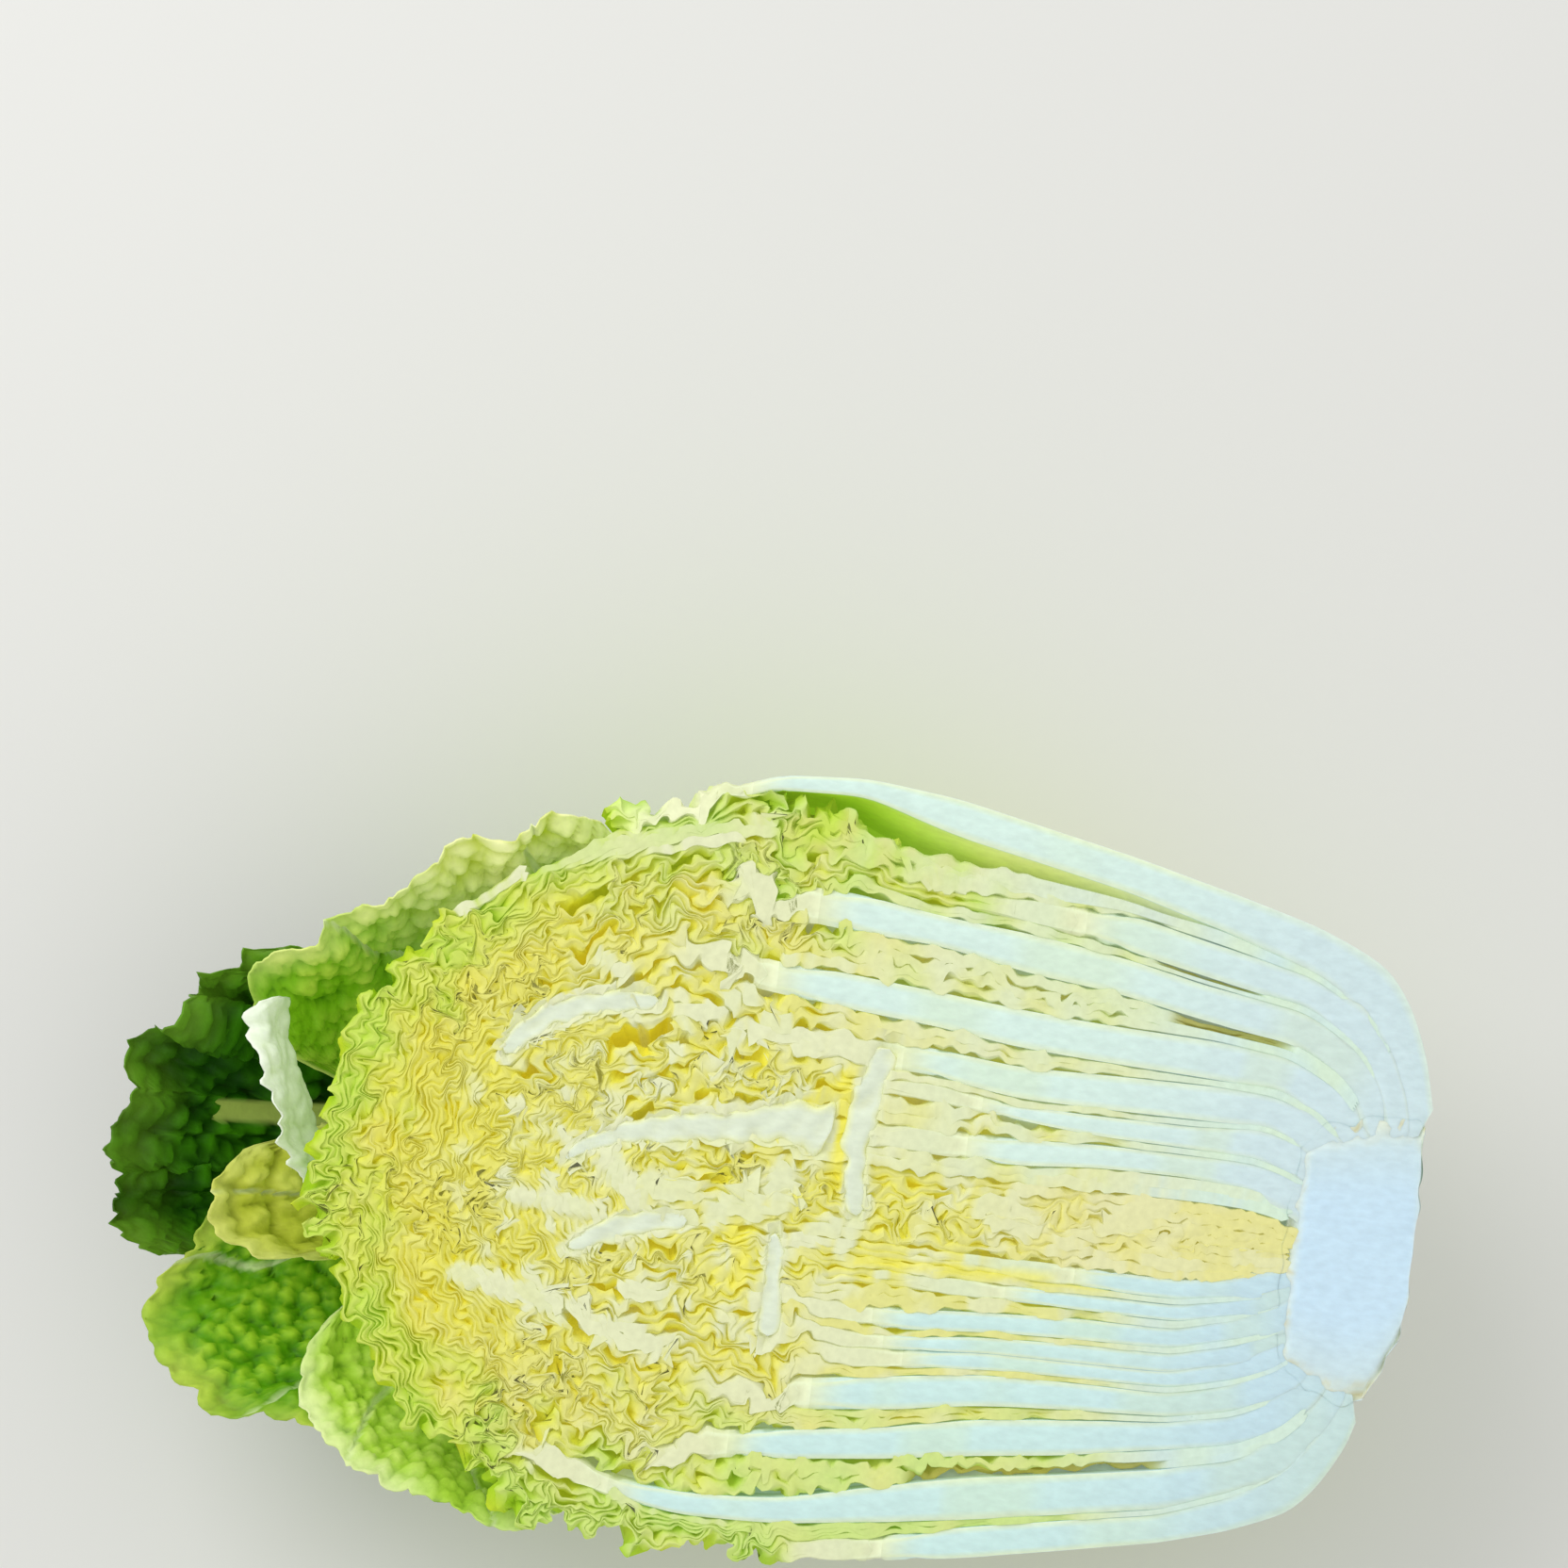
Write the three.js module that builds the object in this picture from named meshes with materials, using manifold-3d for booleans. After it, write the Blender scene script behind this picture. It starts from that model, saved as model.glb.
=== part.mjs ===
// Half of a napa cabbage, cut lengthwise and lying on its rounded back with the cut face up.
//
// The head is a stack of nested leaves round a short white core. Every leaf is one sheet, swept through
// a set of straight rays that run from the head's axis out to its outline. A leaf has its own slot of
// each ray, and the slots keep their order, so no two leaves touch. Leaves of the two sides are cut
// through the midrib, which fills its slot and shows thick and white on the cut face. Back leaves
// have their midrib at the bottom of the half, and only their thin waved wings reach the cut face.
//
// Millimetres. While it is being built the cut face is z = 0, +x runs to the stem end, +y is the left
// side, and the head's tip curves round x = 0. At the end the group is raised so that it stands on z = 0.
import * as THREE from "three";
import { mergeVertices } from "three/addons/utils/BufferGeometryUtils.js";
import Module from "manifold-3d";

const wasm = await Module();
wasm.setup();

const BLADE = 0.8; // thickness of a leaf's thin green part
const GAP = 0.35; // air left round the core and round the small cut ribs
const REST_DEPTH = 84.5; // depth of the flat spot on the back, below the cut face
const RIM_PARTS = 3; // waves are made by splitting a cut edge this often between two rays
const RAD = Math.PI / 180;

// ---------------------------------------------------------------- the head's outline
// A straight ray is named by its place s along the axis. foot is where it leaves the axis, and edge is
// where it meets the outline, as [x, distance from the axis], for the two sides and for the keel.
const FOOT = { 165: 139, 162: 137, 155: 132, 140: 125, 118: 115 };
const STRAIGHT = [165, 162, 155, 140, 118, 95, 75, 55, 35, 15];
const EDGE_LEFT = {
  165: [165, 31], 162: [162.5, 46], 155: [155, 60], 140: [140, 70], 118: [118, 76.5],
  95: [95, 82], 75: [75, 86], 55: [55, 90], 35: [35, 92], 15: [15, 90.5],
};
const EDGE_RIGHT = {
  165: [157, 30], 162: [155, 39], 155: [148, 51], 140: [135, 60], 118: [117, 66],
  95: [95, 70.5], 75: [75, 74.5], 55: [55, 77.5], 35: [35, 79], 15: [15, 79.5],
};
const EDGE_KEEL = {
  165: [161, 30.5], 162: [159, 42], 155: [152, 54], 140: [138, 64], 118: [118, 70],
  95: [95, 74], 75: [75, 75.5], 55: [55, 75.5], 35: [35, 75], 15: [15, 74],
};
// Round the tip, the outline's distance from the axis end, by degrees from the left side.
const TIP_RADIUS = [[0, 84], [15, 80], [30, 77], [45, 76], [60, 76.5], [90, 78], [135, 77.5], [180, 78.5]];
const TIP_KEEL = 73;
const TIP_STEP = 15;

// ---------------------------------------------------------------- small maths
const lerp = (a, b, t) => a + (b - a) * t;
const smooth = (a, b, t) => {
  const k = Math.min(1, Math.max(0, (t - a) / (b - a)));
  return k * k * (3 - 2 * k);
};
// Reads rows of [position, value, value...] with straight lines between them. Positions rise.
function along(rows, at) {
  if (at <= rows[0][0]) return rows[0].slice(1);
  for (let i = 1; i < rows.length; i++) {
    const [p, q] = [rows[i - 1], rows[i]];
    if (at <= q[0]) return p.slice(1).map((v, k) => lerp(v, q[k + 1], (at - p[0]) / (q[0] - p[0])));
  }
  return rows.at(-1).slice(1);
}

// ---------------------------------------------------------------- rays
const straightRay = (side) => (s) => ({
  s,
  side,
  foot: FOOT[s] ?? s,
  edge: side > 0 ? EDGE_LEFT[s] : EDGE_RIGHT[s],
  keel: EDGE_KEEL[s],
});
const tipRay = (angle) => ({ angle, radius: along(TIP_RADIUS, angle)[0] });
const range = (from, to, step) =>
  Array.from({ length: Math.round((to - from) / step) + 1 }, (_, i) => from + i * step);
const LEFT_RAYS = STRAIGHT.map(straightRay(1));
const RIGHT_RAYS = STRAIGHT.toReversed().map(straightRay(-1));
const tipRays = (from, to, step = TIP_STEP) => range(from, to, step).map(tipRay);

// A point on a ray, at a share of its length and a depth in degrees below the cut face.
function onRay(ray, depth, share) {
  const c = Math.cos(depth * RAD);
  const d = Math.sin(depth * RAD);
  if (ray.angle !== undefined) {
    const r = lerp(ray.radius, TIP_KEEL, d * d) * share;
    const a = ray.angle * RAD;
    return new THREE.Vector3(-r * Math.sin(a) * c, r * Math.cos(a) * c, -r * d);
  }
  const x = lerp(ray.edge[0], ray.keel[0], d * d);
  const r = lerp(ray.edge[1], ray.keel[1], d * d) * share;
  return new THREE.Vector3(lerp(ray.foot, x, share), ray.side * r * c, -r * d);
}
const rayLength = (ray, depth) => onRay(ray, depth, 0).distanceTo(onRay(ray, depth, 1));

// ---------------------------------------------------------------- where each leaf lies on the cut face
// Distances from the axis along the ray, as [nearer, farther], at these places: 140 to 15 along the
// straight part, then the ray at the start of the tip. Leaves run from the outside to the heart.
const PLACES = [140, 118, 95, 75, 55, 35, 15, 0];
const LEFT_SLOTS = {
  left_leaf_1: [63.4, 71.6, 68.3, 76.6, 74.5, 82, 78.5, 86, 82.3, 90, 88.5, 92, 87.5, 90.5, 81, 84],
  back_leaf_1: [61.8, 62.8, 65.3, 67.8, 70.2, 74, 70.5, 78, 71, 81.5, 73, 84, 77, 86.5, 76, 80],
  left_leaf_2: [56, 61.2, 57.6, 64.6, 62, 69.5, 65.5, 69.8, 67, 70, 69.3, 72.3, 72, 76, 72, 75.4],
  back_leaf_2: [54.2, 55.4, 56, 57, 60.3, 61.4, 63, 65, 64.6, 66.4, 67.3, 68.8, 68, 71.4, 68, 71.4],
  left_leaf_3: [47.5, 53.6, 48.3, 55.4, 52.3, 59.8, 54.3, 62.5, 58, 64, 58.8, 66.8, 61, 67, 62.5, 67],
  back_leaf_3: [43.6, 46.8, 44.8, 47.6, 45.3, 51.6, 46.5, 53.6, 48.3, 57.3, 49.8, 58, 51, 60, 55, 61.5],
  left_leaf_4: [37, 43, 36.3, 44.2, 37, 44.7, 38, 45.8, 40.5, 47.6, 42, 49.2, 44, 50, 48, 54],
  back_leaf_4: [34.8, 36.3, 34.8, 35.7, 34.6, 36.3, 34, 37.3, 36, 39.8, 36, 41.3, 37, 43, 42, 47],
  left_leaf_5: [28.5, 34.1, 27, 34.3, 26.8, 33.9, 26.9, 33.3, 30, 35.3, 30, 35.3, 31, 36, 36, 41],
  back_leaf_5: [27, 27.9, 25.5, 26.4, 25.3, 26.2, 25.4, 26.3, 28.3, 29.4, 27, 29.4, 27, 30.3, 31, 35],
  left_leaf_6: [21, 26.4, 20.6, 25, 20.8, 24.8, 22.3, 24.9, 24.5, 27.7, 24, 26.4, 23, 26.4, 26, 30],
  back_leaf_6: [19.3, 20.4, 19.1, 20.1, 19.1, 20.3, 18.2, 21.7, 18, 23.8, 18, 23.3, 18, 22.4, 21, 25],
  left_leaf_7: [14, 18.7, 14.3, 18.6, 14, 18.6, 12.1, 17.5, 13, 17.3, 12.5, 17.3, 12.5, 17.4, 15.5, 20],
  back_leaf_7: [9.3, 13.4, 9.3, 13.6, 9, 13.3, 8.6, 11.5, 8.6, 12.3, 8.6, 11.9, 8.6, 11.9, 11, 15],
};
const RIGHT_SLOTS = {
  right_leaf_1: [54.8, 60.8, 60.3, 66, 64.2, 70.5, 68, 74.5, 73, 77.5, 76, 79, 76.5, 79.5, 75.5, 78.5],
  back_leaf_1: [53.3, 54.3, 59, 59.9, 63, 63.8, 66.4, 67.6, 69.6, 72.5, 72.2, 75.5, 73, 76, 71.5, 75],
  right_leaf_2: [47, 52.8, 50.3, 58.6, 54, 62.5, 57, 66, 61.5, 69, 66.5, 71.7, 68, 72.5, 67, 71],
  back_leaf_2: [43.5, 46.5, 46, 49.7, 50, 53.5, 52.5, 56.4, 55.5, 61, 58, 66, 60, 67.3, 62, 66.5],
  right_leaf_3: [37.5, 42.8, 40, 45.4, 42, 49.4, 44.3, 51.9, 48.5, 55, 51.5, 57.4, 54, 59.4, 57, 61.4],
  back_leaf_3: [36, 37, 38.7, 39.5, 40, 41.3, 41.5, 43.7, 44.7, 48, 47, 51, 48, 53.4, 51, 56.4],
  right_leaf_4: [30.5, 35.5, 33.6, 38.2, 33.8, 39.3, 34.4, 40.8, 37.2, 44.2, 40.2, 46.5, 42, 47.4, 46, 50.4],
  back_leaf_4: [29.2, 30.1, 32.3, 33.2, 32.6, 33.4, 33.2, 34, 35.6, 36.6, 36.5, 39.6, 37, 41.4, 41.5, 45.4],
  right_leaf_5: [25.8, 28.8, 29, 31.9, 29.4, 32.2, 29.6, 32.8, 31.5, 35, 32.5, 36, 32.5, 36.4, 36.5, 41],
  right_leaf_6: [22, 25.4, 25, 28.6, 25.4, 29, 26.2, 29.2, 28.4, 31, 28.6, 32, 28.6, 32, 32, 36],
  back_leaf_5: [20.4, 21.5, 23.7, 24.6, 24.2, 25, 25, 25.8, 27, 28, 26, 28.2, 26, 28.2, 28, 31.5],
  right_leaf_7: [16.5, 20, 19.5, 23.3, 19.7, 23.8, 20.8, 24.6, 22.3, 26.6, 22.3, 25.6, 22.3, 25.6, 24, 27.5],
  back_leaf_6: [15.1, 16.1, 17.8, 19.1, 17.8, 19.3, 18, 20.4, 18, 21.9, 18, 21.9, 18, 21.9, 20.5, 23.6],
  right_leaf_8: [12.2, 14.6, 14.3, 17.3, 14.3, 17.3, 14.4, 17.3, 14.5, 17.3, 14.5, 17.5, 14.5, 17.5, 17.5, 20],
  back_leaf_7: [10.9, 11.8, 12.9, 13.8, 12.9, 13.8, 12.2, 14, 12, 14, 11.8, 14, 11.8, 14, 14, 17],
  right_leaf_9: [8, 10.5, 8.7, 12.5, 8.6, 12.4, 8.6, 11.8, 8.6, 11.5, 8.6, 11.3, 8.6, 11.3, 11, 13.5],
};
// Where the midrib ends, as a place along the axis: below 0 it runs on by that many degrees of the tip.
const RIB_END = {
  left_leaf_1: 48, left_leaf_2: 78, left_leaf_3: 20, left_leaf_4: 12, left_leaf_5: 50,
  left_leaf_6: 60, left_leaf_7: 58,
  right_leaf_1: 50, right_leaf_2: -10, right_leaf_3: 14, right_leaf_4: 30, right_leaf_5: 50,
  right_leaf_6: 45, right_leaf_7: 42, right_leaf_8: 70, right_leaf_9: 85,
};
// The order round the tip, where leaves of both sides interleave, from the outside in.
const ORDER = [
  "left_leaf_1", "right_leaf_1", "back_leaf_1", "left_leaf_2", "right_leaf_2", "back_leaf_2",
  "left_leaf_3", "right_leaf_3", "back_leaf_3", "left_leaf_4", "right_leaf_4", "back_leaf_4",
  "left_leaf_5", "right_leaf_5", "right_leaf_6", "back_leaf_5", "left_leaf_6", "right_leaf_7",
  "back_leaf_6", "left_leaf_7", "right_leaf_8", "back_leaf_7", "right_leaf_9",
];
const TIP_INNER = 0.155; // share of the ray inside all the leaves, at the tip
const TIP_SLOT = 0.87; // how much of its pitch a leaf may use there; the rest is air
const TIP_MIX = 30; // degrees over which the layout of one side becomes the layout of the tip
// At the keel the back leaves are thick and the others thin.
const KEEL_INNER = 0.29;
const KEEL_OUTER = 0.99;
const KEEL_BACK = [4.4, 4.2, 3.8, 3.2, 2.4, 1.8, 1.2]; // share given to each back leaf, outside first
const KEEL_AIR = 0.8; // share of air between two leaves, when a thin leaf has 1
const RIB_SOFT = 12; // length over which a midrib thins out
const RIB_SIDE = 30; // degrees of depth by which a cut midrib has thinned out into its blade
const RIB_KEEL = 42; // degrees of depth from which a back leaf thickens to its midrib

const isBack = (name) => name.startsWith("back");
const sideOf = (name) => (isBack(name) ? 0 : name.startsWith("left") ? 1 : -1);

function tipSlot(name) {
  const pitch = (1 - TIP_INNER) / ORDER.length;
  const outer = 1 - ORDER.indexOf(name) * pitch;
  return [outer - pitch * TIP_SLOT, outer];
}
function keelSlot(name) {
  const widths = ORDER.map((n) => (isBack(n) ? KEEL_BACK[Number(n.at(-1)) - 1] : 1));
  const total = widths.reduce((sum, w) => sum + w + KEEL_AIR, 0);
  const unit = (KEEL_OUTER - KEEL_INNER) / total;
  const i = ORDER.indexOf(name);
  const before = widths.slice(0, i).reduce((sum, w) => sum + w + KEEL_AIR, 0);
  const outer = KEEL_OUTER - before * unit;
  return [outer - widths[i] * unit, outer];
}
function sideSlot(name, slots, place, length) {
  const k = PLACES.indexOf(Math.min(place, PLACES[0]));
  return [slots[name][2 * k] / length, slots[name][2 * k + 1] / length];
}
// The slot on the cut face, as shares of the ray.
function cutSlot(name, ray) {
  if (ray.angle === undefined) {
    const slots = ray.side > 0 ? LEFT_SLOTS : RIGHT_SLOTS;
    const edge = ray.side > 0 ? EDGE_LEFT : EDGE_RIGHT;
    const at = Math.min(ray.s, PLACES[0]);
    const length = Math.hypot(edge[at][0] - (FOOT[at] ?? at), edge[at][1]);
    return sideSlot(name, slots, ray.s, length);
  }
  const full = tipSlot(name);
  const left = ray.angle < 90;
  const slots = left ? LEFT_SLOTS : RIGHT_SLOTS;
  const away = left ? ray.angle : 180 - ray.angle;
  if (away >= TIP_MIX || !slots[name]) return full;
  const near = sideSlot(name, slots, 0, tipRay(left ? 0 : 180).radius);
  return near.map((v, k) => lerp(v, full[k], away / TIP_MIX));
}
// How much of its slot a leaf fills, from 0 for a thin blade to 1 for a full midrib.
function ribFill(name, ray) {
  if (isBack(name)) return 0;
  const left = sideOf(name) > 0;
  const past = left ? ray.angle : 180 - ray.angle;
  const place = ray.angle === undefined ? ray.s : -past;
  const end = RIB_END[name];
  return smooth(end, end + RIB_SOFT, place);
}
const keelFill = (ray) => (ray.angle === undefined ? lerp(0.5, 1, smooth(0, 60, ray.s)) : 0.5);

// The two faces of a leaf on one ray, as shares. wave runs from -1 to 1 across the slot.
function faces(name, ray, depth, wave) {
  const [cutIn, cutOut] = cutSlot(name, ray);
  const [keelIn, keelOut] = keelSlot(name);
  const sink = smooth(0, 90, depth);
  const low = lerp(cutIn, keelIn, sink);
  const high = lerp(cutOut, keelOut, sink);
  const room = high - low;
  const thin = Math.min(room, BLADE / rayLength(ray, depth));
  const fill = isBack(name)
    ? keelFill(ray) * smooth(RIB_KEEL, 90, depth)
    : ribFill(name, ray) * (1 - smooth(0, RIB_SIDE, depth));
  const thick = lerp(thin, room, fill);
  const middle = (low + high) / 2 + (wave * (room - thick)) / 2;
  return [middle - thick / 2, middle + thick / 2];
}

// ---------------------------------------------------------------- closed sheets
function solidFrom(triangles) {
  const soup = new THREE.BufferGeometry();
  const flat = triangles.flatMap((v) => [v.x, v.y, v.z]);
  soup.setAttribute("position", new THREE.Float32BufferAttribute(flat, 3));
  const merged = mergeVertices(soup, 2e-3);
  const index = merged.index.array;
  const kept = [];
  for (let i = 0; i < index.length; i += 3) {
    const [a, b, c] = [index[i], index[i + 1], index[i + 2]];
    if (a !== b && b !== c && a !== c) kept.push(a, b, c);
  }
  const vertProperties = merged.attributes.position.array;
  const corner = (k) => new THREE.Vector3().fromArray(vertProperties, 3 * kept[k]);
  let volume = 0;
  for (let i = 0; i < kept.length; i += 3) volume += corner(i).dot(corner(i + 1).cross(corner(i + 2))) / 6;
  if (volume < 0) kept.reverse(); // faces point outwards
  const mesh = new wasm.Mesh({ numProp: 3, vertProperties, triVerts: new Uint32Array(kept) });
  return new wasm.Manifold(mesh);
}

// A sheet between two faces. Each face is a list of columns, one to a ray, of points from the rim down.
// rims holds, for each pair of columns, the extra rim points between them. A keel sheet is a boat whose
// two sides meet along the keel, so it has no lower edge.
function sheet(inner, outer, rims, keel) {
  const triangles = [];
  const tri = (a, b, c) => triangles.push(a, b, c);
  const quad = (a, b, c, d) => {
    tri(a, b, c);
    tri(a, c, d);
  };
  const bottom = inner[0].length - 1;
  for (let i = 0; i + 1 < inner.length; i++) {
    const rim = (face, k) => [face[i][0], ...rims[i].map((pair) => pair[k]), face[i + 1][0]];
    const rimIn = rim(inner, 0);
    const rimOut = rim(outer, 1);
    for (let k = 0; k + 1 < rimIn.length; k++) {
      tri(rimOut[k], rimOut[k + 1], outer[i][1]);
      tri(rimIn[k + 1], rimIn[k], inner[i][1]);
      quad(rimOut[k], rimIn[k], rimIn[k + 1], rimOut[k + 1]);
    }
    tri(outer[i + 1][0], outer[i + 1][1], outer[i][1]);
    tri(inner[i][1], inner[i + 1][1], inner[i + 1][0]);
    for (let j = 1; j < bottom; j++) {
      tri(outer[i][j], outer[i + 1][j], outer[i][j + 1]);
      tri(outer[i + 1][j], outer[i + 1][j + 1], outer[i][j + 1]);
      tri(inner[i + 1][j], inner[i][j], inner[i][j + 1]);
      tri(inner[i][j + 1], inner[i + 1][j + 1], inner[i + 1][j]);
    }
    if (!keel) quad(outer[i][bottom], outer[i + 1][bottom], inner[i + 1][bottom], inner[i][bottom]);
  }
  const last = inner.length - 1;
  for (let j = 0; j < bottom; j++) {
    quad(outer[0][j], outer[0][j + 1], inner[0][j + 1], inner[0][j]);
    quad(outer[last][j + 1], outer[last][j], inner[last][j], inner[last][j + 1]);
  }
  return solidFrom(triangles);
}

// Waves that differ from leaf to leaf: a steady zigzag with an uneven height.
const waveAt = (seed, i) => Math.sin(i * 2.3 + seed * 1.7) * (0.55 + 0.45 * Math.sin(i * 0.9 + seed));

// ---------------------------------------------------------------- the leaves of the head
const ROWS = [0, 25, 90]; // degrees of depth at which a leaf inside the head has points
const FIRST_ROWS = [0, 12, 25, 47, 68, 90]; // the same for the two outermost, which show their backs
const SIDE_STOP = 0.85; // a side leaf stops at this share of the way from its last row but one to the keel
const STILL = 0.4; // a cut edge with less room than this to wave in is left straight
const TIP_REACH = 150; // a side leaf wraps this far round the tip
const FIRST_REACH = 15; // the outermost left leaf stops short of the tip's side
// The upper margin of a back leaf slopes down from the cut face towards the stem. This is the outline
// of what is cut away, as [x, z].
const SLOPE = [[103, 0.5], [170, 0.5], [170, -34], [150, -26], [126, -9]];
const SLOPE_WIDTH = 220;
function slopeSolid() {
  const shape = new THREE.Shape(SLOPE.map(([x, z]) => new THREE.Vector2(x, z)));
  const block = new THREE.ExtrudeGeometry(shape, { depth: SLOPE_WIDTH, bevelEnabled: false });
  block.translate(0, 0, -SLOPE_WIDTH / 2);
  block.rotateX(Math.PI / 2);
  const flat = block.attributes.position;
  return solidFrom(range(0, flat.count - 1, 1).map((k) => new THREE.Vector3().fromBufferAttribute(flat, k)));
}

function headLeaf(name, seed) {
  const side = sideOf(name);
  const reach = name === "left_leaf_1" ? FIRST_REACH : TIP_REACH;
  const tip = side === 0 ? tipRays(0, 180) : side > 0 ? tipRays(0, reach) : tipRays(180 - reach, 180);
  const rays = [...(side >= 0 ? LEFT_RAYS : []), ...tip, ...(side <= 0 ? RIGHT_RAYS : [])];
  const rows = side !== 0 && name.endsWith("_1") ? FIRST_ROWS : ROWS;
  const waves = { 0: 1, 12: 0.8, 25: 0.5 };
  const column = (ray, i) => {
    const at = (depth) =>
      faces(name, ray, depth, (waves[depth] ?? 0) * waveAt(seed, i * RIM_PARTS)).map((share) =>
        onRay(ray, depth, share),
      );
    const points = rows.map(at);
    if (side !== 0) {
      const [above, below] = points.slice(-2);
      points[points.length - 1] = above.map((p, k) => p.clone().lerp(below[k], SIDE_STOP));
    }
    return points;
  };
  const columns = rays.map(column);
  const rims = rays.slice(1).map((ray, i) => {
    const rooms = [rays[i], ray].map((r) => slack(name, r));
    if (Math.max(...rooms) < STILL) return [];
    const still = [rays[i], ray].map((r) => faces(name, r, 0, 0).map((share) => onRay(r, 0, share)));
    return range(1, RIM_PARTS - 1, 1).map((part) => {
      const t = part / RIM_PARTS;
      const [a, b] = [0, 1].map((k) => still[0][k].clone().lerp(still[1][k], t));
      const shift = (lerp(rooms[0], rooms[1], t) / 2) * waveAt(seed, i * RIM_PARTS + part);
      const push = b.clone().sub(a).setLength(shift);
      return [a.add(push), b.add(push)];
    });
  });
  const face = (k) => columns.map((points) => points.map((pair) => pair[k]));
  return sheet(face(0), face(1), rims, side === 0);
}
// How far a leaf can move across its slot on the cut face, in millimetres.
function slack(name, ray) {
  const [low, high] = cutSlot(name, ray);
  const [a, b] = faces(name, ray, 0, 0);
  return (high - low - (b - a)) * rayLength(ray, 0);
}

// ---------------------------------------------------------------- loose outer leaves
// Each row: degrees round the tip, depth of the margin and of the foot, then the shares of the ray at
// the foot and at the margin. A leaf hugs the head at its foot and flares towards its margin.
const OUTER = {
  outer_pale_leaf: {
    rows: [
      [14, 26, 36, 1.02, 1.03], [20, 6, 36, 1.02, 1.04], [30, 1, 36, 1.02, 1.08], [45, 2, 36, 1.02, 1.11],
      [55, 3, 43, 1.02, 1.18], [62, 4, 48, 1.03, 1.22], [72, 6, 50, 1.09, 1.31], [78, 14, 50, 1.12, 1.3],
      [83, 34, 46, 1.14, 1.2],
    ],
    ruffle: 2.6,
  },
  outer_white_leaf: {
    rows: [
      [71, 24, 40, 1.02, 1.08], [75, 5, 40, 1.02, 1.17], [79, 1, 40, 1.02, 1.2], [84, 3, 40, 1.02, 1.12],
      [92, 5, 40, 1.02, 1.06], [95, 22, 40, 1.02, 1.05],
    ],
    ruffle: 1.6,
  },
  outer_olive_leaf: {
    rows: [
      [90, 30, 46, 1.05, 1.1], [95, 10, 46, 1.04, 1.2], [99, 8, 46, 1.03, 1.26], [105, 8, 46, 1.02, 1.26],
      [110, 12, 44, 1.02, 1.16], [113, 26, 44, 1.02, 1.08],
    ],
    ruffle: 1.8,
  },
  outer_green_leaf: {
    rows: [
      [93, 48, 60, 1.08, 1.12], [97, 26, 60, 1.08, 1.3], [102, 21, 60, 1.08, 1.4], [109, 17, 56, 1.08, 1.52],
      [113, 16, 46, 1.08, 1.56], [122, 14, 42, 1.09, 1.45], [132, 16, 40, 1.09, 1.28],
      [141, 22, 40, 1.09, 1.16], [147, 34, 40, 1.09, 1.11],
    ],
    ruffle: 3,
  },
  outer_long_leaf: {
    rows: [
      [119, 28, 38, 1.02, 1.03], [124, 10, 38, 1.02, 1.05], [135, 5, 38, 1.02, 1.11],
      [150, 4, 38, 1.02, 1.09], [165, 5, 38, 1.02, 1.05], [171, 14, 38, 1.02, 1.03],
      [175, 30, 38, 1.02, 1.02],
    ],
    ruffle: 1.6,
  },
};
const OUTER_STEP = 3; // degrees between the rays of a loose leaf
const OUTER_ROWS = 6;
const FLARE = 1.5; // how sharply a loose leaf flares towards its margin
const BLISTER = 1.1; // height of the blisters in a loose leaf

function looseLeaf(plan, seed) {
  const rays = tipRays(plan.rows[0][0], plan.rows.at(-1)[0], OUTER_STEP);
  const columns = rays.map((ray, i) => {
    const [rim, foot, footShare, rimShare] = along(plan.rows, ray.angle);
    return range(0, OUTER_ROWS, 1).map((j) => {
      const t = 1 - j / OUTER_ROWS;
      const depth = lerp(foot, rim, t);
      const lift = plan.ruffle * t * t * waveAt(seed, i) + BLISTER * t * waveAt(seed + j * 2, i + 4);
      const length = rayLength(ray, depth);
      const share = lerp(footShare, rimShare, t ** FLARE) + (lift + BLISTER) / length;
      return [onRay(ray, depth, share), onRay(ray, depth, share + BLADE / length)];
    });
  });
  const face = (k) => columns.map((points) => points.map((pair) => pair[k]));
  return sheet(face(0), face(1), rays.slice(1).map(() => []), false);
}

// The outermost leaf lies along the back. Its broad midrib is the keel, and is flat where the half
// rests. Past the tip its dark blade stands up behind the other loose leaves.
const KEEL_FROM = 1.02;
const KEEL_RIB = 10; // thickness of the broad midrib
const KEEL_RIM = [[0, 46], [55, 46], [118, 50], [165, 62]]; // depth of its margins along the straight part
const KEEL_WAVE = 2.5; // how far its margins wander, in degrees of depth
const DARK_ROWS = [
  // degrees round the tip, depth of the margin, share of the ray at the margin
  [0, 46, 1.04], [30, 46, 1.05], [45, 42, 1.08], [63, 24, 1.32], [72, 10, 1.44], [81, 5, 1.53],
  [90, 4, 1.57], [99, 6, 1.59], [106, 12, 1.59], [111, 40, 1.48], [114, 54, 1.12], [120, 56, 1.05],
  [135, 50, 1.04], [180, 46, 1.04],
];
const KEEL_FLARE = 1.3;
const DARK_RUFFLE = 2.8;
const KEEL_ROWS = 6;
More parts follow.
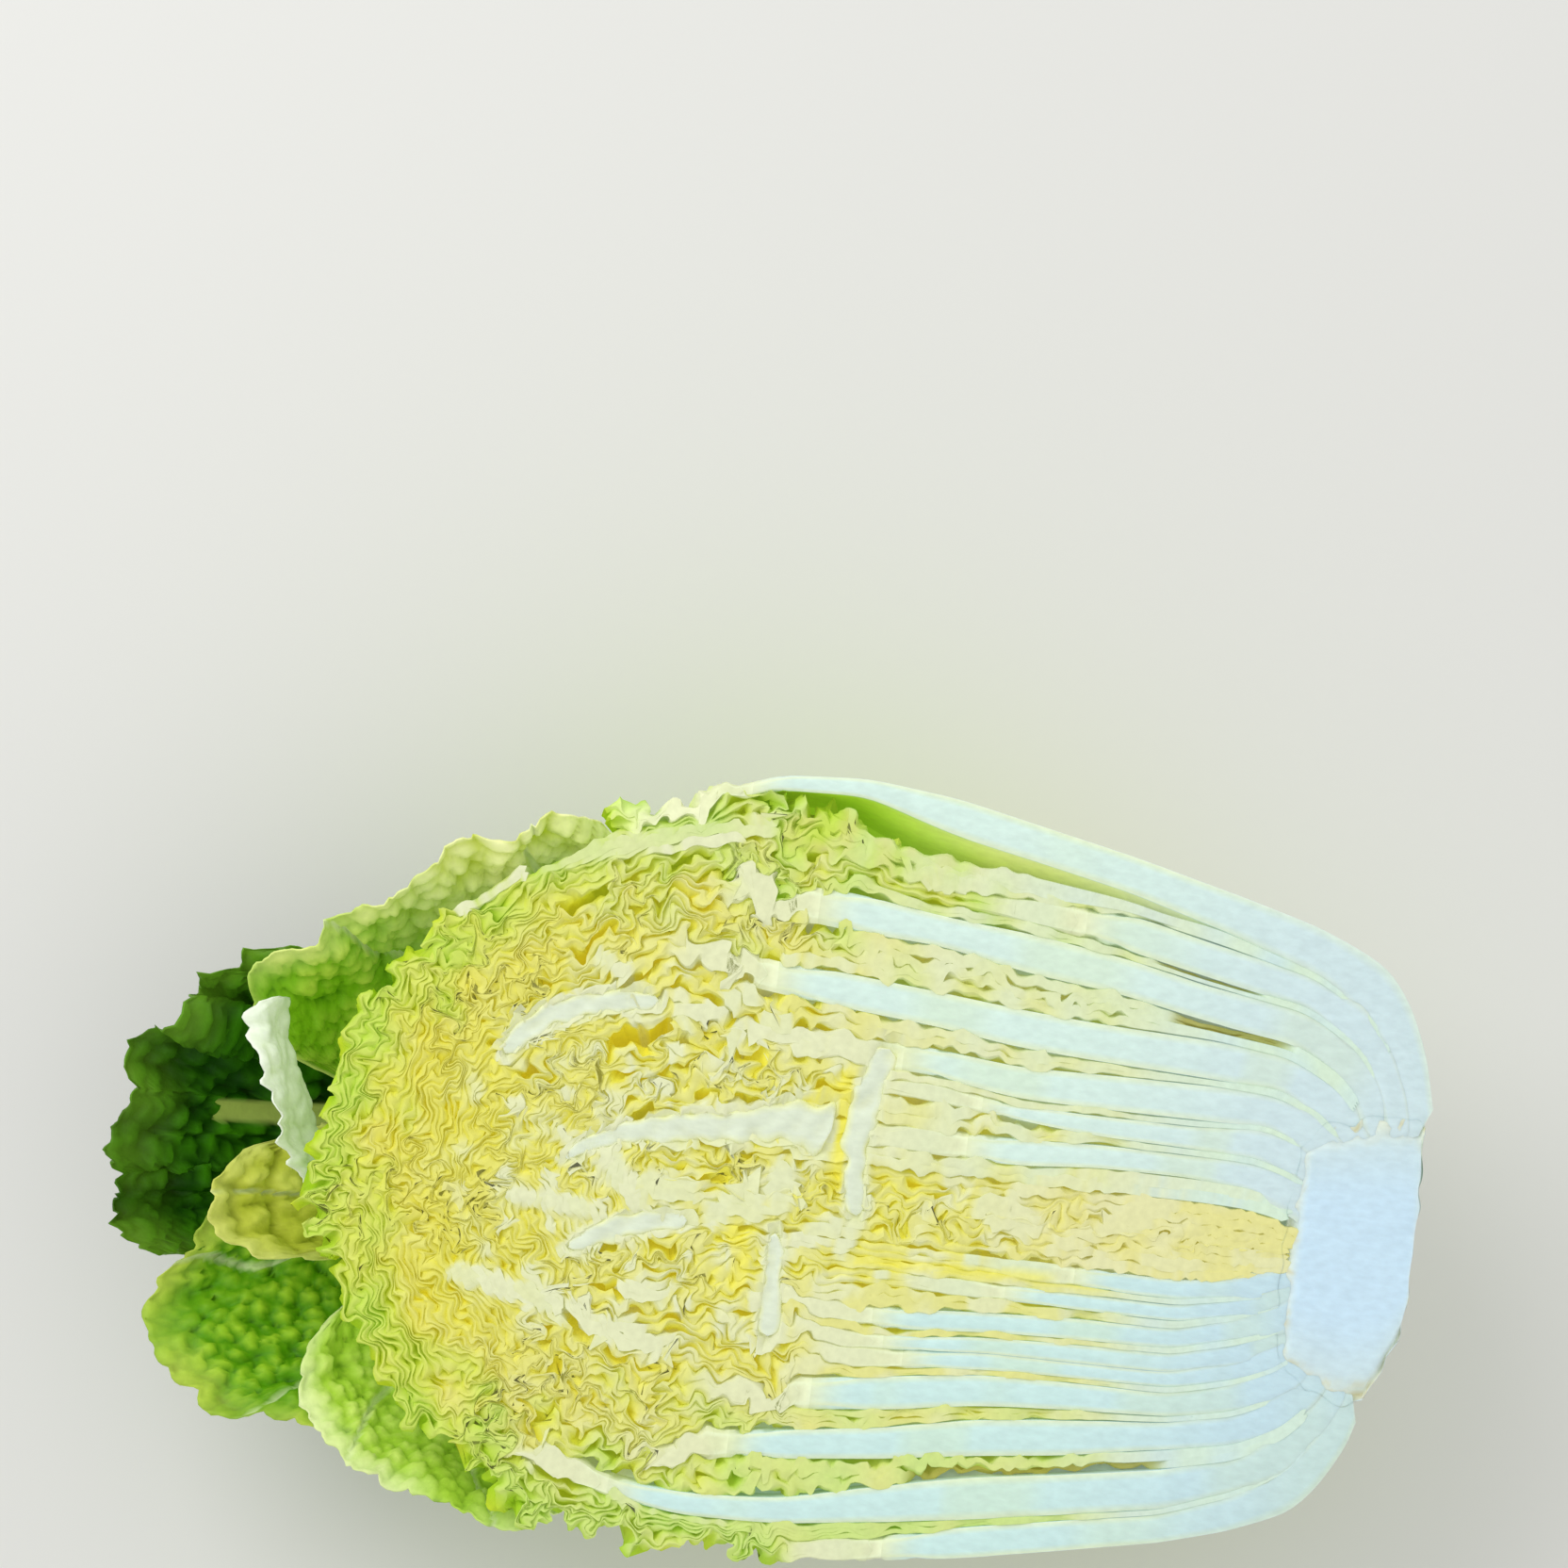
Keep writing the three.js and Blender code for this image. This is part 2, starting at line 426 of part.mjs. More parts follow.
function keelLeaf(seed) {
  const tip = [...tipRays(0, 60, 15), ...tipRays(63, 117, 4.5), ...tipRays(120, 180, 15)];
  const rays = [...LEFT_RAYS, ...tip, ...RIGHT_RAYS];
  const columns = rays.map((ray, i) => {
    const tipped = ray.angle !== undefined;
    const [edge, flare] = tipped ? along(DARK_ROWS, ray.angle) : [along(KEEL_RIM, ray.s)[0], 1.04];
    const rim = edge + KEEL_WAVE * (1 + waveAt(seed, i));
    return range(0, KEEL_ROWS, 1).map((j) => {
      const t = 1 - j / KEEL_ROWS;
      const depth = lerp(90, rim, t);
      const length = rayLength(ray, depth);
      const ripple = tipped && ray.angle > 60 && ray.angle < 120 ? DARK_RUFFLE * t * waveAt(seed + j * 3, i) : 0;
      const share = lerp(KEEL_FROM, flare, t ** KEEL_FLARE) + ripple / length;
      const rib = KEEL_RIB * smooth(66, 84, depth) * (tipped ? 0.5 : lerp(0.55, 1, smooth(0, 40, ray.s)));
      const thick = Math.max(BLADE, rib) / length;
      return [onRay(ray, depth, share), onRay(ray, depth, share + thick)];
    });
  });
  const face = (k) => columns.map((points) => points.map((pair) => pair[k]));
  const outer = face(1);
  for (const point of outer.flat()) point.z = Math.max(point.z, -REST_DEPTH);
  return sheet(face(0), outer, rays.slice(1).map(() => []), true);
}

// ---------------------------------------------------------------- the core and the heart
// The core's outline as [x, distance from the axis], read on the two sides.
const CORE_LEFT = [[139, 0], [139, 12], [140, 23], [142, 27], [150, 30], [163, 33], [165, 31], [165.2, 0]];
const CORE_RIGHT = [[139, 0], [139, 10], [140, 20], [142, 25], [150, 29], [157, 30], [164, 18], [165.2, 0]];
const CORE_OUTWARD = [-1, -1, -1, -1, 0, 0, 1, 1]; // which way each corner faces along the axis
const CORE_PARTS = 14;
function coreSolid(grow) {
  const columns = range(0, CORE_PARTS, 1).map((k) => {
    const turn = (k / CORE_PARTS) * Math.PI;
    const mix = (1 - Math.cos(turn)) / 2;
    return CORE_LEFT.map(([x, r], j) => {
      const across = lerp(r, CORE_RIGHT[j][1], mix);
      const wide = across > 0 ? across + 1.4 * grow : 0;
      const place = lerp(x, CORE_RIGHT[j][0], mix) + grow * CORE_OUTWARD[j];
      return new THREE.Vector3(place, wide * Math.cos(turn), -wide * Math.sin(turn) + 0);
    });
  });
  const triangles = [];
  const lift = new THREE.Vector3(0, 0, grow);
  const top = (point) => point.clone().add(lift);
  const n = CORE_LEFT.length - 1;
  for (let k = 0; k < CORE_PARTS; k++) {
    for (let j = 0; j < n; j++) {
      const [a, b, c, d] = [columns[k][j], columns[k][j + 1], columns[k + 1][j + 1], columns[k + 1][j]];
      triangles.push(a, b, c, a, c, d);
    }
  }
  const rim = [...columns[0], ...columns[CORE_PARTS].slice(1, n).toReversed()];
  if (grow > 0) {
    rim.forEach((p, k) => {
      const q = rim[(k + 1) % rim.length];
      triangles.push(q, p, top(p), q, top(p), top(q));
    });
  }
  const cap = grow > 0 ? rim.map(top) : rim;
  for (let k = 1; k + 1 < cap.length; k++) triangles.push(cap[0], cap[k + 1], cap[k]);
  return solidFrom(triangles);
}

// The heart is a mass of small folded leaves. Its cut face is ridged, and its underside is rounded.
const HEART_FROM = 138.4;
const HEART_TO = -9.5;
const HEART_LONG = 34;
const HEART_WIDE = 6;
// Its half widths to the left and right, by place along the axis.
const HEART_SIZE = [
  [-9.5, 2.5, 2.5], [-5, 8, 8], [5, 9, 8.4], [15, 8, 7.8], [118, 8, 7.2], [130, 7, 6], [139, 4.6, 3.8],
];
const FOLD = 1.4;
function heartSolid() {
  const place = (i, j) => {
    const x = lerp(HEART_FROM, HEART_TO, i / HEART_LONG);
    const v = (j / HEART_WIDE) * 2 - 1;
    const [left, right] = along(HEART_SIZE, x);
    return [x, v, v * (v > 0 ? left : right), Math.max(left, right)];
  };
  const top = (i, j) => {
    const [x, , y] = place(i, j);
    const fold = (FOLD / 2) * (1 + Math.sin(i * 2.1 + j * 1.3) * Math.cos(j * 2.4 - i * 0.6));
    return new THREE.Vector3(x, y, -fold);
  };
  const under = (i, j) => {
    const [x, v, y, r] = place(i, j);
    return new THREE.Vector3(x, y, -2.4 * FOLD - 0.8 * r * Math.sqrt(1 - v * v));
  };
  const triangles = [];
  const quad = (a, b, c, d) => triangles.push(a, b, c, a, c, d);
  for (let i = 0; i < HEART_LONG; i++) {
    for (let j = 0; j < HEART_WIDE; j++) {
      quad(top(i, j), top(i, j + 1), top(i + 1, j + 1), top(i + 1, j));
      quad(under(i, j), under(i + 1, j), under(i + 1, j + 1), under(i, j + 1));
    }
    quad(top(i, 0), top(i + 1, 0), under(i + 1, 0), under(i, 0));
    quad(top(i + 1, HEART_WIDE), top(i, HEART_WIDE), under(i, HEART_WIDE), under(i + 1, HEART_WIDE));
  }
  for (let j = 0; j < HEART_WIDE; j++) {
    quad(top(0, j + 1), top(0, j), under(0, j), under(0, j + 1));
    quad(top(HEART_LONG, j), top(HEART_LONG, j + 1), under(HEART_LONG, j + 1), under(HEART_LONG, j));
  }
  return solidFrom(triangles);
}

// ---------------------------------------------------------------- small cut ribs among the inner leaves
// Centre line on the cut face as [x, y, width].
const INNER_RIBS = {
  inner_rib_1: [
    [-21, 1.5, 3], [-17, 6, 4.5], [-10, 10, 5.5], [0, 12.3, 6], [10, 13.8, 7], [20, 16, 8], [28, 16.5, 10],
    [34.5, 14.5, 19],
  ],
  inner_rib_2: [[45.5, 35, 5], [43.5, 28, 6.5], [42.3, 16, 7], [42.3, 5, 6], [43.3, -3, 4]],
  inner_rib_3: [[-37, 23, 3], [-34.6, 27, 5], [-29, 32, 5.5], [-20, 36, 5.5], [-10, 37.7, 5], [-5, 38.5, 3]],
  inner_rib_4: [[-18, -17.5, 3], [-12.3, -14, 5.5], [-6, -10.8, 5.5], [1, -9.3, 5], [7, -8.5, 3]],
  inner_rib_5: [[26.5, -9, 3], [27, -15, 4.5], [27, -20, 4], [27.5, -26, 6], [27.5, -31.5, 5]],
};
const INNER_DEPTH = 15;
const INNER_TAPER = 0.55; // its width at the bottom, as a share of the width at the top
function innerRib(line, grow) {
  const corners = line.map(([x, y, width], k) => {
    const [p, q] = [line[Math.max(0, k - 1)], line[Math.min(line.length - 1, k + 1)]];
    const run = new THREE.Vector2(q[0] - p[0], q[1] - p[1]).normalize();
    const end = k === 0 ? -grow : k === line.length - 1 ? grow : 0;
    const at = (half, z) =>
      new THREE.Vector3(x - run.y * half + run.x * end, y + run.x * half + run.y * end, z);
    const wide = width / 2 + grow;
    const low = (width / 2) * INNER_TAPER + grow;
    const floor = -INNER_DEPTH - grow;
    return [at(wide, grow), at(-wide, grow), at(-low, floor), at(low, floor)];
  });
  const triangles = [];
  const quad = (a, b, c, d) => triangles.push(a, b, c, a, c, d);
  for (let i = 0; i + 1 < corners.length; i++) {
    for (let k = 0; k < 4; k++) {
      const n = (k + 1) % 4;
      quad(corners[i][k], corners[i][n], corners[i + 1][n], corners[i + 1][k]);
    }
  }
  const [first, final] = [corners[0], corners.at(-1)];
  quad(first[3], first[2], first[1], first[0]);
  quad(final[0], final[1], final[2], final[3]);
  return solidFrom(triangles);
}

// ---------------------------------------------------------------- colours
const RIB_WHITE = "#e6efe2";
const COLOURS = {
  core: "#dde9ee",
  heart: "#e9e07a",
  outer_pale_leaf: "#b9cf6a",
  outer_white_leaf: "#e3ead0",
  outer_olive_leaf: "#93a945",
  outer_green_leaf: "#7fae3c",
  outer_long_leaf: "#c3d67c",
  outer_keel_leaf: "#3f7022",
};
const OUTER_TINT = new THREE.Color("#a9cf5e"); // back leaves, outermost
const INNER_TINT = new THREE.Color("#ece388"); // back leaves, nearest the heart
const ROUGHNESS = 0.5;

function colourOf(name) {
  if (COLOURS[name]) return new THREE.Color(COLOURS[name]);
  if (!isBack(name)) return new THREE.Color(RIB_WHITE);
  return OUTER_TINT.clone().lerp(INNER_TINT, (Number(name.at(-1)) - 1) / 6);
}

// ---------------------------------------------------------------- assembly
function largest(solid) {
  const parts = solid.decompose();
  return parts.reduce((best, part) => (part.volume() > best.volume() ? part : best));
}
function meshOf(name, solid) {
  const { vertProperties, triVerts } = solid.getMesh();
  const geometry = new THREE.BufferGeometry();
  geometry.setAttribute("position", new THREE.BufferAttribute(new Float32Array(vertProperties), 3));
  geometry.setIndex(new THREE.BufferAttribute(new Uint32Array(triVerts), 1));
  const material = new THREE.MeshStandardMaterial({
    color: colourOf(name),
    roughness: ROUGHNESS,
    metalness: 0,
  });
  const mesh = new THREE.Mesh(geometry, material);
  mesh.name = name;
  return mesh;
}

const half = new THREE.Group();
const core = coreSolid(0);
const around = [coreSolid(GAP), ...Object.values(INNER_RIBS).map((line) => innerRib(line, GAP))];
const cutAway = (solid, blocks) => largest(blocks.reduce((rest, block) => rest.subtract(block), solid));
const trimmed = (solid) => cutAway(solid, around);
const slope = slopeSolid();

half.add(meshOf("core", core));
half.add(meshOf("heart", trimmed(heartSolid())));
for (const [name, line] of Object.entries(INNER_RIBS)) half.add(meshOf(name, innerRib(line, 0)));
ORDER.forEach((name, seed) => {
  const leaf = headLeaf(name, seed);
  half.add(meshOf(name, cutAway(leaf, isBack(name) ? [...around, slope] : around)));
});
Object.entries(OUTER).forEach(([name, plan], seed) => half.add(meshOf(name, looseLeaf(plan, seed))));
half.add(meshOf("outer_keel_leaf", trimmed(keelLeaf(7))));

// The origin is under the middle of the bounding box, on the surface that the half rests on.
const box = new THREE.Box3().setFromObject(half);
const middle = box.getCenter(new THREE.Vector3());
half.position.set(-middle.x, -middle.y, -box.min.z);
const model = new THREE.Group();
model.name = "napa_cabbage_half";
model.add(half);
export default model;
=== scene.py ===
# %% [markdown]
# # Half of a napa cabbage, cut lengthwise
# A napa cabbage is a tight stack of leaves round a short white core. Cut lengthwise, it shows each leaf
# edge on: thick white midribs fan out of the core, and past them the thin blades crumple together.
# The half lies on its rounded back, so the cut face is flat, level and on top.
#
# The solids of the frame already have every leaf in its place. Here each leaf is made again as a fine
# crinkled sheet in the same slot, because a solid for checking needs far fewer folds than a leaf has.

import math
from types import SimpleNamespace

import bpy
import numpy as np
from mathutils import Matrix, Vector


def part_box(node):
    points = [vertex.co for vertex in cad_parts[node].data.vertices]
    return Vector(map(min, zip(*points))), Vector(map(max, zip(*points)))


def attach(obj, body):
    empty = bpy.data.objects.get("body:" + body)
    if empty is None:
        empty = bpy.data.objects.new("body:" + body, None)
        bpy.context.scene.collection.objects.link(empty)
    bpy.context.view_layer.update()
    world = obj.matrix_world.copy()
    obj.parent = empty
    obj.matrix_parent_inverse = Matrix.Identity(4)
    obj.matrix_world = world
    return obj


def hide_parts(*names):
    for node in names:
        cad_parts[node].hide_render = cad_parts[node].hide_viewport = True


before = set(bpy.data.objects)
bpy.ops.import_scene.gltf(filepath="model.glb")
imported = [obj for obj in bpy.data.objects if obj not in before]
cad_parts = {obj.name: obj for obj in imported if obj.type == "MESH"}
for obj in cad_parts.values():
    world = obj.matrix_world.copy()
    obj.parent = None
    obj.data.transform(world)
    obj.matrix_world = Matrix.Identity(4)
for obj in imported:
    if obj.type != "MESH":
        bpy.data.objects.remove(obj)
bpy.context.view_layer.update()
print("solids:", len(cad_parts))

# %% [markdown]
# ## One set of axes to build in
# Leaves are easiest to describe in millimetres from the middle of the head's tip: x runs to the stem,
# y to the left side, and the cut face is z = 0. The core's own box says where that point is in the
# frame, so every piece is moved there once, as its mesh is made.

# %% Where the head's own origin lies in the frame
CORE_END = 165.2
CORE_SIDE = 33.0
core_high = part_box("core")[1]
HOME = np.array([core_high[0] - CORE_END / 1000, core_high[1] - CORE_SIDE / 1000, core_high[2]])
print("origin in the frame, mm:", np.round(HOME * 1000, 2))


# %% Two ways to blend, used all through
def smooth(a, b, t):
    """0 up to a, 1 from b on, and a soft slope between them. b may be less than a."""
    k = np.clip((np.asarray(t, float) - a) / (b - a), 0, 1)
    return k * k * (3 - 2 * k)


def mix(a, b, t):
    return a + (b - a) * t


print("halfway from 2 to 6:", mix(2, 6, smooth(0, 10, 5)))

# %% [markdown]
# ## The head's outline, as rays
# Every leaf is swept through straight rays that run from the head's axis to its outline. A ray has a
# place: -165 to 0 along the left side from the stem to the tip, 0 to 180 in degrees round the tip, and
# 180 to 345 back along the right side. A leaf that is a share of each ray keeps clear of its neighbours.

# %% Outline tables, as [mm along the axis or degrees round the tip, value]
# FOOT is where a ray leaves the axis, X where it meets the outline and R how far out that is.
FOOT = [[0, 0], [95, 95], [118, 115], [140, 125], [155, 132], [162, 137], [165, 139]]
LEFT_X = [[0, 0], [155, 155], [162, 162.5], [165, 165]]
RIGHT_X = [[0, 0], [95, 95], [118, 117], [140, 135], [155, 148], [162, 155], [165, 157]]
KEEL_X = [[0, 0], [118, 118], [140, 138], [155, 152], [162, 159], [165, 161]]
LEFT_R = [
    [0, 84], [15, 90.5], [35, 92], [55, 90], [75, 86], [95, 82], [118, 76.5], [140, 70], [155, 60],
    [162, 46], [165, 31],
]
RIGHT_R = [
    [0, 78.5], [15, 79.5], [35, 79], [55, 77.5], [75, 74.5], [95, 70.5], [118, 66], [140, 60], [155, 51],
    [162, 39], [165, 30],
]
KEEL_R = [
    [0, 73], [15, 74], [35, 75], [55, 75.5], [75, 75.5], [95, 74], [118, 70], [140, 64], [155, 54],
    [162, 42], [165, 30.5],
]
TIP_R = [[0, 84], [15, 80], [30, 77], [45, 76], [60, 76.5], [90, 78], [135, 77.5], [180, 78.5]]
print("head's half width, left and right, mm:", max(r for _, r in LEFT_R), max(r for _, r in RIGHT_R))


# %% The outline at every place
STEP = 0.5
PLACES = np.arange(-165, 345 + STEP, STEP)


def read(table, at):
    rows = np.array(table, float)
    return np.interp(at, rows[:, 0], rows[:, 1])


def soften(values, reach):
    """Rounds off the corners of a list along the places, over about this many millimetres."""
    n = max(1, int(3 * reach / STEP))
    bell = np.exp(-0.5 * (np.arange(-n, n + 1) * STEP / reach) ** 2)
    padded = np.pad(values, n, mode="reflect", reflect_type="odd")
    return np.convolve(padded, bell / bell.sum(), mode="valid")


IS_LEFT = PLACES < 0
IS_RIGHT = PLACES > 180
ALONG = np.where(IS_LEFT, -PLACES, np.where(IS_RIGHT, PLACES - 180, 0))
ROUND = np.clip(PLACES, 0, 180)
foot_line = read(FOOT, ALONG)
edge_line = np.where(PLACES < 90, read(LEFT_X, ALONG), read(RIGHT_X, ALONG))
side_line = np.where(PLACES < 90, read(LEFT_R, ALONG), read(RIGHT_R, ALONG))
reach_line = soften(np.where(IS_LEFT | IS_RIGHT, side_line, read(TIP_R, ROUND)), 3)
keelx_line = read(KEEL_X, ALONG)
keel_line = soften(np.where(IS_LEFT | IS_RIGHT, read(KEEL_R, ALONG), 73.0), 3)


print("places:", len(PLACES))


# %% Points on the rays
def at_place(line, place):
    return np.interp(place, PLACES, line)


def on_ray(place, depth, share):
    """Points at these places, depth angles in radians, and shares of the ray."""
    cosine, sine = np.cos(depth), np.sin(depth)
    sink = sine * sine
    radius = mix(at_place(reach_line, place), at_place(keel_line, place), sink) * share
    turn = np.radians(np.clip(place, 0, 180))
    tip = (place >= 0) & (place <= 180)
    far = mix(at_place(edge_line, place), at_place(keelx_line, place), sink)
    x = np.where(tip, -radius * np.sin(turn) * cosine, mix(at_place(foot_line, place), far, share))
    side = np.where(place < 90, 1.0, -1.0)
    y = np.where(tip, radius * np.cos(turn) * cosine, side * radius * cosine)
    return np.stack([x, y, -radius * sine], axis=-1)


print("outline reaches", np.round(on_ray(np.array([-35.0, 90.0, 200.0]), 0.0, 1.0), 1).tolist())

# %% [markdown]
# ## Where each leaf lies
# On the cut face each leaf has its own slot of the ray, measured from the axis in millimetres. A leaf of
# the left or right side fills its slot with a white midrib near the stem. A back leaf has no midrib here:
# only its thin wings, folded a few times over, fill the slot between two ribs.

# %% Slots on the cut face
# At each of eight stops along the axis, in mm from the tip: the near and the far side of every slot.
STOPS = [140, 118, 95, 75, 55, 35, 15, 0]
LEFT_SPAN = [71.6, 76.6, 82, 86, 90, 92, 90.5, 84]
RIGHT_SPAN = [60.8, 66, 70.5, 74.5, 77.5, 79, 79.5, 78.5]
LEFT_SLOTS = {
    "left_leaf_1": [63.4, 71.6, 68.3, 76.6, 74.5, 82, 78.5, 86, 82.3, 90, 88.5, 92, 87.5, 90.5, 81, 84],
    "back_leaf_1": [61.8, 62.8, 65.3, 67.8, 70.2, 74, 70.5, 78, 71, 81.5, 73, 84, 77, 86.5, 76, 80],
    "left_leaf_2": [56, 61.2, 57.6, 64.6, 62, 69.5, 65.5, 69.8, 67, 70, 69.3, 72.3, 72, 76, 72, 75.4],
    "back_leaf_2": [54.2, 55.4, 56, 57, 60.3, 61.4, 63, 65, 64.6, 66.4, 67.3, 68.8, 68, 71.4, 68, 71.4],
    "left_leaf_3": [47.5, 53.6, 48.3, 55.4, 52.3, 59.8, 54.3, 62.5, 58, 64, 58.8, 66.8, 61, 67, 62.5, 67],
    "back_leaf_3": [43.6, 46.8, 44.8, 47.6, 45.3, 51.6, 46.5, 53.6, 48.3, 57.3, 49.8, 58, 51, 60, 55, 61.5],
    "left_leaf_4": [37, 43, 36.3, 44.2, 37, 44.7, 38, 45.8, 40.5, 47.6, 42, 49.2, 44, 50, 48, 54],
    "back_leaf_4": [34.8, 36.3, 34.8, 35.7, 34.6, 36.3, 34, 37.3, 36, 39.8, 36, 41.3, 37, 43, 42, 47],
    "left_leaf_5": [28.5, 34.1, 27, 34.3, 26.8, 33.9, 26.9, 33.3, 30, 35.3, 30, 35.3, 31, 36, 36, 41],
    "back_leaf_5": [27, 27.9, 25.5, 26.4, 25.3, 26.2, 25.4, 26.3, 28.3, 29.4, 27, 29.4, 27, 30.3, 31, 35],
    "left_leaf_6": [21, 26.4, 20.6, 25, 20.8, 24.8, 22.3, 24.9, 24.5, 27.7, 24, 26.4, 23, 26.4, 26, 30],
    "back_leaf_6": [19.3, 20.4, 19.1, 20.1, 19.1, 20.3, 18.2, 21.7, 18, 23.8, 18, 23.3, 18, 22.4, 21, 25],
    "left_leaf_7": [14, 18.7, 14.3, 18.6, 14, 18.6, 12.1, 17.5, 13, 17.3, 12.5, 17.3, 12.5, 17.4, 15.5, 20],
    "back_leaf_7": [9.3, 13.4, 9.3, 13.6, 9, 13.3, 8.6, 11.5, 8.6, 12.3, 8.6, 11.9, 8.6, 11.9, 11, 15],
    "heart": [0, 8.6, 0, 8.8, 0, 8.5, 0, 8.1, 0, 8.1, 0, 8.1, 0, 8.1, 0, 10.2],
}
RIGHT_SLOTS = {
    "right_leaf_1": [54.8, 60.8, 60.3, 66, 64.2, 70.5, 68, 74.5, 73, 77.5, 76, 79, 76.5, 79.5, 75.5, 78.5],
    "back_leaf_1": [53.3, 54.3, 59, 59.9, 63, 63.8, 66.4, 67.6, 69.6, 72.5, 72.2, 75.5, 73, 76, 71.5, 75],
    "right_leaf_2": [47, 52.8, 50.3, 58.6, 54, 62.5, 57, 66, 61.5, 69, 66.5, 71.7, 68, 72.5, 67, 71],
    "back_leaf_2": [43.5, 46.5, 46, 49.7, 50, 53.5, 52.5, 56.4, 55.5, 61, 58, 66, 60, 67.3, 62, 66.5],
    "right_leaf_3": [37.5, 42.8, 40, 45.4, 42, 49.4, 44.3, 51.9, 48.5, 55, 51.5, 57.4, 54, 59.4, 57, 61.4],
    "back_leaf_3": [36, 37, 38.7, 39.5, 40, 41.3, 41.5, 43.7, 44.7, 48, 47, 51, 48, 53.4, 51, 56.4],
    "right_leaf_4": [
        30.5, 35.5, 33.6, 38.2, 33.8, 39.3, 34.4, 40.8, 37.2, 44.2, 40.2, 46.5, 42, 47.4, 46, 50.4,
    ],
    "back_leaf_4": [
        29.2, 30.1, 32.3, 33.2, 32.6, 33.4, 33.2, 34, 35.6, 36.6, 36.5, 39.6, 37, 41.4, 41.5, 45.4,
    ],
    "right_leaf_5": [
        25.8, 28.8, 29, 31.9, 29.4, 32.2, 29.6, 32.8, 31.5, 35, 32.5, 36, 32.5, 36.4, 36.5, 41,
    ],
    "right_leaf_6": [22, 25.4, 25, 28.6, 25.4, 29, 26.2, 29.2, 28.4, 31, 28.6, 32, 28.6, 32, 32, 36],
    "back_leaf_5": [20.4, 21.5, 23.7, 24.6, 24.2, 25, 25, 25.8, 27, 28, 26, 28.2, 26, 28.2, 28, 31.5],
    "right_leaf_7": [
        16.5, 20, 19.5, 23.3, 19.7, 23.8, 20.8, 24.6, 22.3, 26.6, 22.3, 25.6, 22.3, 25.6, 24, 27.5,
    ],
    "back_leaf_6": [15.1, 16.1, 17.8, 19.1, 17.8, 19.3, 18, 20.4, 18, 21.9, 18, 21.9, 18, 21.9, 20.5, 23.6],
    "right_leaf_8": [
        12.2, 14.6, 14.3, 17.3, 14.3, 17.3, 14.4, 17.3, 14.5, 17.3, 14.5, 17.5, 14.5, 17.5, 17.5, 20,
    ],
    "back_leaf_7": [10.9, 11.8, 12.9, 13.8, 12.9, 13.8, 12.2, 14, 12, 14, 11.8, 14, 11.8, 14, 14, 17],
    "right_leaf_9": [8, 10.5, 8.7, 12.5, 8.6, 12.4, 8.6, 11.8, 8.6, 11.5, 8.6, 11.3, 8.6, 11.3, 11, 13.5],
    "heart": [0, 7.4, 0, 8.2, 0, 8.1, 0, 8.1, 0, 8.1, 0, 8.1, 0, 8.1, 0, 10.2],
}
print("slots on the left and the right:", len(LEFT_SLOTS), len(RIGHT_SLOTS))

# %% Folds of each leaf, the order of the leaves from outside in, and where midribs end
# Folds of each back leaf's wing, and of the heart on each side of the axis. A side leaf has 2.
FOLDS = {f"back_leaf_{k}": folds for k, folds in enumerate([4, 2, 4, 2, 1, 2, 2], 1)} | {"heart": 4}
ORDER = [
    "left_leaf_1", "right_leaf_1", "back_leaf_1", "left_leaf_2", "right_leaf_2", "back_leaf_2",
    "left_leaf_3", "right_leaf_3", "back_leaf_3", "left_leaf_4", "right_leaf_4", "back_leaf_4",
    "left_leaf_5", "right_leaf_5", "right_leaf_6", "back_leaf_5", "left_leaf_6", "right_leaf_7",
    "back_leaf_6", "left_leaf_7", "right_leaf_8", "back_leaf_7", "right_leaf_9", "heart",
]
# Where a midrib ends along the axis. Below 0 it runs on by that many degrees round the tip.
RIB_END = {f"left_leaf_{k}": end for k, end in enumerate([2, 78, 20, 12, 42, 60, 58], 1)}
RIB_END |= {f"right_leaf_{k}": end for k, end in enumerate([50, -10, 14, 30, 50, 45, 42, 70, 85], 1)}
FOLD_COUNT = [FOLDS.get(name, 2) for name in ORDER]
TIP_MIX = 30  # degrees over which the slots of the sides turn into those of the tip
print("folds across the tip:", sum(FOLD_COUNT))


# %% The slot of a leaf at every place
def tip_slot(name):
    """Round the tip every fold of every leaf takes the same room."""
    pitch = 1 / sum(FOLD_COUNT)
    k = ORDER.index(name)
    outer = 1 - sum(FOLD_COUNT[:k]) * pitch
    return outer - FOLD_COUNT[k] * pitch, outer


def slot_lines(name):
    """The nearer and farther share of the slot on the cut face, at every place."""
    lines = []
    for k in (0, 1):
        knots = []
        if name in LEFT_SLOTS:
            shares = np.array(LEFT_SLOTS[name][k::2]) / LEFT_SPAN
            knots += [(-165, shares[0])] + [(-stop, v) for stop, v in zip(STOPS, shares)]
        knots += [(TIP_MIX, tip_slot(name)[k]), (180 - TIP_MIX, tip_slot(name)[k])]
        if name in RIGHT_SLOTS:
            shares = np.array(RIGHT_SLOTS[name][k::2]) / RIGHT_SPAN
            knots += [(180 + stop, v) for stop, v in zip(STOPS[::-1], shares[::-1])]
            knots += [(345, shares[0])]
        lines.append(soften(read(knots, PLACES), 4))
    return lines


near, far = slot_lines("left_leaf_1")
print("left_leaf_1 takes up to", round(float(((far - near) * reach_line).max()), 1), "mm of a ray")


# %% [markdown]
# ## Depth
# Under the cut face the leaves curl round to the keel. There it is the back leaves that are thick, and
# the side leaves that have thinned out, so the slots are shared out again and blended with depth.

